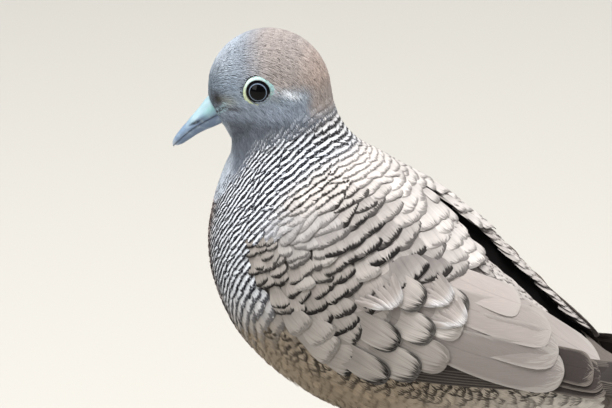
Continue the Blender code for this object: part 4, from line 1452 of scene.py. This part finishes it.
def nostril(reach, height, length):
    """The slit of a nostril: 1 in its middle, fading outwards."""
    return spot(reach - 4.35, height - 0.02 - 0.14 * (reach - 4.35), length, 0.20)


def bill_half(upper, last):
    """The shape of one half: the upper with its swollen base and nostrils, or the plain lower."""
    def shape(share, turn):
        reach, culmen, mouth, keel, wide = spline(BILL_PROFILE, share * last).T
        arch, level = np.sin(turn * 2 * np.pi), np.cos(turn * 2 * np.pi)
        crown = np.clip(arch, 0, 1) ** 0.8
        cap = np.sqrt(np.clip((1 - share) * 26, 0, 1))
        edge = np.sign(level) * np.abs(level) ** 0.85
        if upper:
            height = mouth + 0.05 + (culmen - mouth) * crown * cap - 0.12 * np.clip(-arch, 0, 1)
            swell = 0.30 * spot(reach - 2.9, height - 0.35, 2.2, 0.75)
            slit = 0.75 * nostril(reach, height, 1.15)
            aside = edge * wide * cap + np.sign(level) * (swell - slit) * (arch > -0.2)
            height = height - 0.10 * spot(reach - 6.3, 0.0, 1.1, 1.0) * crown
        else:
            height = mouth - 0.05 - (mouth - keel) * crown * cap + 0.12 * np.clip(-arch, 0, 1)
            aside = edge * (wide - 0.12) * cap
        return on_bill(reach, aside, height)
    return shape


def make_bill(material):
    """Both halves: a soft swollen base with slit nostrils, and a horny tip that hooks over the lower half."""
    upper = rolled("bill_top", 90, 72, bill_half(True, UPPER_END))
    lower = rolled("bill_bottom", 70, 48, bill_half(False, LOWER_END))
    bill = joined("bill", [upper, lower])
    paint_bill(bill)
    finished(bill, material, "bill", "bill_upper", "bill_lower")


def paint_bill(bill):
    """Pale culmen, turquoise base, blue-grey sides with painted shade below the swollen base, dark nostrils
    and mouth line.
    """
    reach, height = from_bill(in_millimetres(bill))
    mouth = -0.62 - 0.10 * np.maximum(0, 4.6 - reach) - 0.12 * np.maximum(0, reach - 7.0)
    paint(bill.data, "tint", layered(BILL_BLUE, (
        (BILL_SHADE, eased(1.0, -1.6, height)),
        (CERE, eased(3.6, 0.4, reach) * eased(-1.2, 0.6, height)),
        (CULMEN, eased(0.75, 1.5, height + 0.16 * reach) * eased(7.5, 3.0, reach)),
        # Painted shade on the side just below the swollen base.
        (BILL_SWELL_SHADE, 0.8 * spot(reach - 3.2, height + 0.1, 1.5, 0.55)),
        (BILL_TIP, 0.7 * eased(9.6, 11.4, reach)),
        (MOUTH_LINE, 0.75 * spot(0.0, height - mouth, 1.0, 0.16)),
        (NOSTRIL, nostril(reach, height, 1.05)))))


# The legs, as (x, z) on each side's plane, and the toes as name, bearing, length and joints.
LEG_OUT = 10.5
THIGH_TOP, ANKLE, FOOT = (-44.0, 31.0), (-36.5, 16.2), (-42.5, 2.2)
THIGH_SHARES, THIGH_RADII = (-0.1, 0.2, 0.45, 0.7, 0.86), (7.4, 7.2, 5.2, 2.9, 1.6)
TOES = (
    ("hind", 180.0, 7.5, 2), ("inner", 37.0, 10.0, 3), ("middle", 0.0, 14.0, 4), ("outer", -37.0, 11.0, 4))
TOE_OUT, SOLE = 8.0, 0.02
CLAW_LINE = ((-0.12, 0.05), (0.2, 0.22), (0.5, 0.18), (0.8, -0.15), (1.0, -0.5))
CLAW_RADII = (0.50, 0.50, 0.36, 0.2, 0.05)


def tube(path, radii, share, turn, lowest=None):
    """Points on a round tube along a path; rows of path and radii are evenly spaced in share."""
    path, radii = np.asarray(path, float), np.asarray(radii, float)[:, None]
    last = len(path) - 1
    where = share * last
    centre, radius = spline(path, where), spline(radii, where)[:, 0]
    ahead = unit(spline(path, np.clip(where + 0.02, 0, last)) - spline(path, np.clip(where - 0.02, 0, last)))
    run = abs(path[-1] - path[0])
    upright = run[2] > run[:2].max()
    side = unit(np.cross(ahead, (0.0, 1.0, 0.0) if upright else (0.0, 0.0, 1.0)))
    up = np.cross(side, ahead)
    around = turn * 2 * np.pi
    cap = np.sqrt(np.clip(np.minimum(share, 1 - share) * 14, 0, 1))
    round_it = side * np.cos(around)[:, None] + up * np.sin(around)[:, None]
    points = centre + round_it * (radius * cap)[:, None]
    if lowest is not None:
        points[:, 2] = np.maximum(points[:, 2], lowest)
    return points


def leg_line(side):
    """The top of the thigh, the ankle and the foot on one side."""
    return [np.array((x, -side * LEG_OUT, z)) for x, z in (THIGH_TOP, ANKLE, FOOT)]


def make_shank(side):
    """A shank with overlapping scutes, wider at the joints."""
    thigh_top, ankle, foot = leg_line(side)
    top = ankle + (thigh_top - ankle) * 0.28
    path = (top, ankle + (top - ankle) * 0.15, ankle + (foot - ankle) * 0.1, ankle + (foot - ankle) * 0.5,
            foot + (ankle - foot) * 0.12, foot, foot * (1, 1, 0.12))

    def shape(share, turn):
        points = tube(path, (1.35, 1.5, 1.35, 1.12, 1.2, 1.75, 2.1), share, turn, SOLE)
        scutes = 0.05 * np.abs(np.sin(share * 46)) * eased(0.15, 0.25, share)
        centre = spline(np.array(path), share * (len(path) - 1))
        return points + (points - centre) * scutes[:, None]

    return rolled("shank", 120, 20, shape)


def make_toe(toe, start, ahead, length, joints):
    """A toe with pads below its joints and rings across its top."""
    def shape(share, turn):
        radius = 0.98 - 0.30 * share + 0.16 * np.abs(np.sin(share * np.pi * joints))
        path = start + ahead * (share * (length + 2.2))[:, None]
        path[:, 2] = 0.95 - 0.18 * share + 0.35 * np.sin(np.clip(share, 0, 0.5) * 2 * np.pi) * (1 - share)
        around = turn * 2 * np.pi
        cap = np.sqrt(np.clip(np.minimum(share * 10, (1 - share) * 16), 0, 1))
        aside = np.cross(ahead, (0.0, 0.0, 1.0))
        ring = 1 + 0.055 * np.abs(np.sin(share * length * 2.1)) * (np.sin(around) > -0.3)
        points = path + aside * (np.cos(around) * radius * cap * ring)[:, None]
        points[:, 2] += np.sin(around) * radius * cap * ring * 0.95
        points[:, 2] = np.maximum(points[:, 2], SOLE)
        return points

    return rolled(f"toe_{toe}", 90, 16, shape)


def make_claw(toe, root, ahead):
    """A small claw that bends down from a toe's tip."""
    hook = [root + ahead * (3.6 * reach) + np.array((0, 0, 0.72 + 1.0 * rise)) for reach, rise in CLAW_LINE]

    def shape(share, turn):
        return tube(hook, CLAW_RADII, share, turn, 0.03)

    return rolled(f"claw_{toe}", 24, 14, shape)


def make_leg(side, name, scaly, horn):
    """A shank, four jointed toes and their claws."""
    foot = leg_line(side)[2]
    pieces, claws = [make_shank(side)], []
    for toe, bearing, length, joints in TOES:
        heading = math.radians(180 + side * (TOE_OUT - bearing))
        ahead = np.array((math.cos(heading), math.sin(heading), 0.0))
        start = np.array((foot[0], foot[1], 0.0)) + ahead * 0.9
        pieces.append(make_toe(toe, start, ahead, length, joints))
        claws.append(make_claw(toe, start + ahead * (length + 1.9), ahead))
    toes = [f"toe_{toe}_{name}" for toe, *_ in TOES]
    nails = [f"claw_{toe}_{name}" for toe, *_ in TOES]
    finished(joined(f"leg_{name}", pieces), scaly, "leg", f"shank_{name}", *toes)
    finished(joined(f"claws_{name}", claws), horn, "claw", *nails)


def make_thigh(side):
    """The feathered thigh's skin, part of the bird's one skin."""
    top, ankle, _ = leg_line(side)
    path = [top + (ankle - top) * share for share in THIGH_SHARES]

    def shape(share, turn):
        return tube(path, THIGH_RADII, share, turn)

    return rolled("thigh", 40, 32, shape)


def dress_thighs(material):
    """Short feathers in rings round each thigh, like a sleeve that ends above the ankle."""
    vane = Vane(5, 5, shoulder=0.7, blunt=0.4, notch=0.06)
    rings, around, reach = 10, 14, 0.30
    for side, name in SIDES:
        top, ankle, _ = leg_line(side)
        fan = Fan(f"thigh_feathers_{name}", vane)
        for ring, k in itertools.product(range(rings), range(around)):
            turn = 2 * np.pi * (k + 0.5 * (ring % 2)) / around + rng.normal(0, 0.08)
            share = 0.30 + 0.66 * ring / rings + np.linspace(-reach, 0, 4) + rng.normal(0, 0.015)
            out = np.array((math.cos(turn) * 0.9, math.sin(turn), math.cos(turn) * 0.44))
            radius = np.interp(share, THIGH_SHARES, THIGH_RADII)
            lift = np.linspace(-0.35, 0.25, 4)
            path = top + (ankle - top) * share[:, None] + out * (radius + lift)[:, None]
            ground = blend(BUFF, VENT_WHITE, 0.25) * (1 + rng.normal(0, 0.06))
            fan.add(path, np.tile(out, (4, 1)), 0.75 + 0.13 * radius[-1], camber=0.1, thick=0.06,
                    ground=ground, light=ground * 1.1, fringe=0.1)
        fan.build(material, "coat", around)


def plain_finishes():
    """The finishes of bill, eyes, bare rings, legs and claws."""
    bill = Finish("horn_blue", 0.38, Specular_IOR_Level=0.45)
    grain = bill.noise(bill.place(), 900.0, 3.0)
    shade = bill.noise(bill.place(), 260.0, 2.0)
    dusty = grain.above(0.60, 0.2) * 0.22
    tint = bill.mix(dusty, bill.attribute("tint").outputs["Color"], srgb(214, 228, 232))
    bill.colour(bill.mix(shade.above(0.6, 0.4) * 0.25, tint, srgb(96, 112, 136)))
    bill.bump(grain, 0.00006)

    eye = Finish("eye", 0.05, Specular_IOR_Level=0.14)
    rim = eye.number(eye.attribute("rim").outputs["Fac"])
    # A thin pale blue-grey ring at the pupil's edge: a painted reflection ring.
    ring = rim.above(1.62, 0.08) * rim.below(1.78, 0.10) * 0.6
    iris = eye.mix(rim.above(1.75, 0.2), srgb(2, 2, 3), srgb(12, 12, 16))
    eye.colour(eye.mix(ring, iris, srgb(150, 168, 190)))

    lids = Finish("bare_ring", 0.5, Specular_IOR_Level=0.4, Subsurface_Weight=0.1, Subsurface_Scale=0.001)
    pebble = lids.node("ShaderNodeTexVoronoi", Vector=lids.place(), Scale=3400.0)
    cell = lids.number(pebble.outputs["Distance"])
    pale = lids.noise(lids.place(), 500.0, 2.0).above(0.6, 0.4)
    lids.colour(lids.mix(pale * 0.3, lids.attribute("tint").outputs["Color"], srgb(214, 224, 212)))
    lids.bump(cell * -1.0, 0.00005)

    leg = Finish("leg_scales", 0.55, Specular_IOR_Level=0.35)
    plate = leg.node("ShaderNodeTexVoronoi", Vector=leg.place(), Scale=1100.0)
    edge = leg.number(plate.outputs["Distance"])
    leg.colour(leg.mix(edge.above(0.42, 0.4) * 0.5, srgb(168, 126, 124), srgb(128, 92, 93)))
    leg.bump(edge * -1.0, 0.00008)

    claw = Finish("claw_horn", 0.35)
    shade = claw.noise(claw.place(), 700.0)
    claw.colour(claw.mix(shade, srgb(70, 60, 58), srgb(48, 41, 40)))
    return bill.material, eye.material, lids.material, leg.material, claw.material


# ---------------------------------------------------------------------------------------------
# Putting it together.
horn_blue, eye_gloss, bare_ring, leg_scales, claw_horn = plain_finishes()
down = feather_finish("down", streak=1.5, lean=0.0, contrast=0.45, bump=0.00002)
body_feather = feather_finish("body_feather", streak=7.0, lean=1.0, contrast=0.55, bump=0.000018)
wing_feather = feather_finish("wing_feather", streak=9.0, lean=2.5, contrast=0.50, bump=0.000018)
long_feather = feather_finish("long_feather", streak=16.0, lean=34.0, contrast=0.34, bump=0.00002,
                              roughness=0.6)

skin = make_skin()
thighs = [make_thigh(side) for side, _ in SIDES]
rings = [make_lids(side, name) for side, name in SIDES]
skin = joined("skin", [skin, *thighs])
paint_skin(skin)
finished(skin, down, "coat", "head", "neck", "trunk", "thigh_left", "thigh_right", "wing_left", "wing_right",
         "tertials_left", "tertials_right")
for ring in rings:
    finished(ring, bare_ring, "coat")
for side, name in SIDES:
    make_eye(side, name, eye_gloss)
    make_leg(side, name, leg_scales, claw_horn)
make_bill(horn_blue)

dress_head(down)
dress_rows(body_feather)
dress_belly(body_feather)
dress_rump(body_feather)
dress_wing(wing_feather)
dress_ridge(wing_feather)
dress_quills(long_feather)
dress_tertials(long_feather)
dress_greater_coverts(wing_feather)
dress_tail(long_feather)
dress_thighs(down)


# ---------------------------------------------------------------------------------------------
# Studio: the middle of the bird, soft lamps as place, size and power, and the camera's view.
AIM = Vector((-0.06, 0, 0.06)) + Vector(ORIGIN)
LAMPS = (((-0.20, -0.20, 1.15), 0.6, 20.0), ((-0.9, -0.9, 0.6), 0.7, 5.0), ((0.6, 0.5, 0.9), 0.7, 5.0))
SKY, SKY_STRENGTH = (0.86, 0.86, 0.87, 1), 0.30
CAMERA_TARGET = Vector((-65.5, -12.0, 69.6)) * MM + Vector(ORIGIN)
CAMERA_HEIGHT, CAMERA_DISTANCE, SEEN_WIDTH, SENSOR = math.radians(15.0), 1.5, 0.1224, 36


def make_studio():
    """A plain floor, a dim even sky, one lamp above and two weaker ones in front and behind."""
    bpy.ops.object.select_all(action="DESELECT")
    bpy.ops.mesh.primitive_plane_add(size=6)
    floor = bpy.context.object
    floor.name = "floor"
    finish = Finish("floor", 0.9, Specular_IOR_Level=0.1)
    finish.colour(srgb(190, 187, 180))
    floor.data.materials.append(finish.material)
    bpy.context.scene.view_settings.view_transform = "Standard"
    world = bpy.data.worlds.new("studio")
    bpy.context.scene.world = world
    world.use_nodes = True
    sky = world.node_tree.nodes["Background"]
    sky.inputs["Color"].default_value = SKY
    sky.inputs["Strength"].default_value = SKY_STRENGTH
    for place, size, power in LAMPS:
        data = bpy.data.lights.new("softbox", "AREA")
        data.size = size
        data.energy = power
        lamp = bpy.data.objects.new("softbox", data)
        lamp.location = Vector(place)
        lamp.rotation_euler = (AIM - lamp.location).to_track_quat("-Z", "Y").to_euler()
        bpy.context.scene.collection.objects.link(lamp)


def make_camera():
    """A long lens from the bird's left, slightly above, close on head and folded wing."""
    away = Vector((0.0, -math.cos(CAMERA_HEIGHT), math.sin(CAMERA_HEIGHT)))
    data = bpy.data.cameras.new("camera")
    data.sensor_width = SENSOR
    data.lens = SENSOR * CAMERA_DISTANCE / SEEN_WIDTH
    data.clip_start = 0.05
    data.dof.use_dof = False
    camera = bpy.data.objects.new("camera", data)
    camera.location = CAMERA_TARGET + away * CAMERA_DISTANCE
    camera.rotation_euler = (-away).to_track_quat("-Z", "Y").to_euler()
    bpy.context.scene.collection.objects.link(camera)
    bpy.context.scene.camera = camera


make_studio()
make_camera()

bpy.context.view_layer.update()
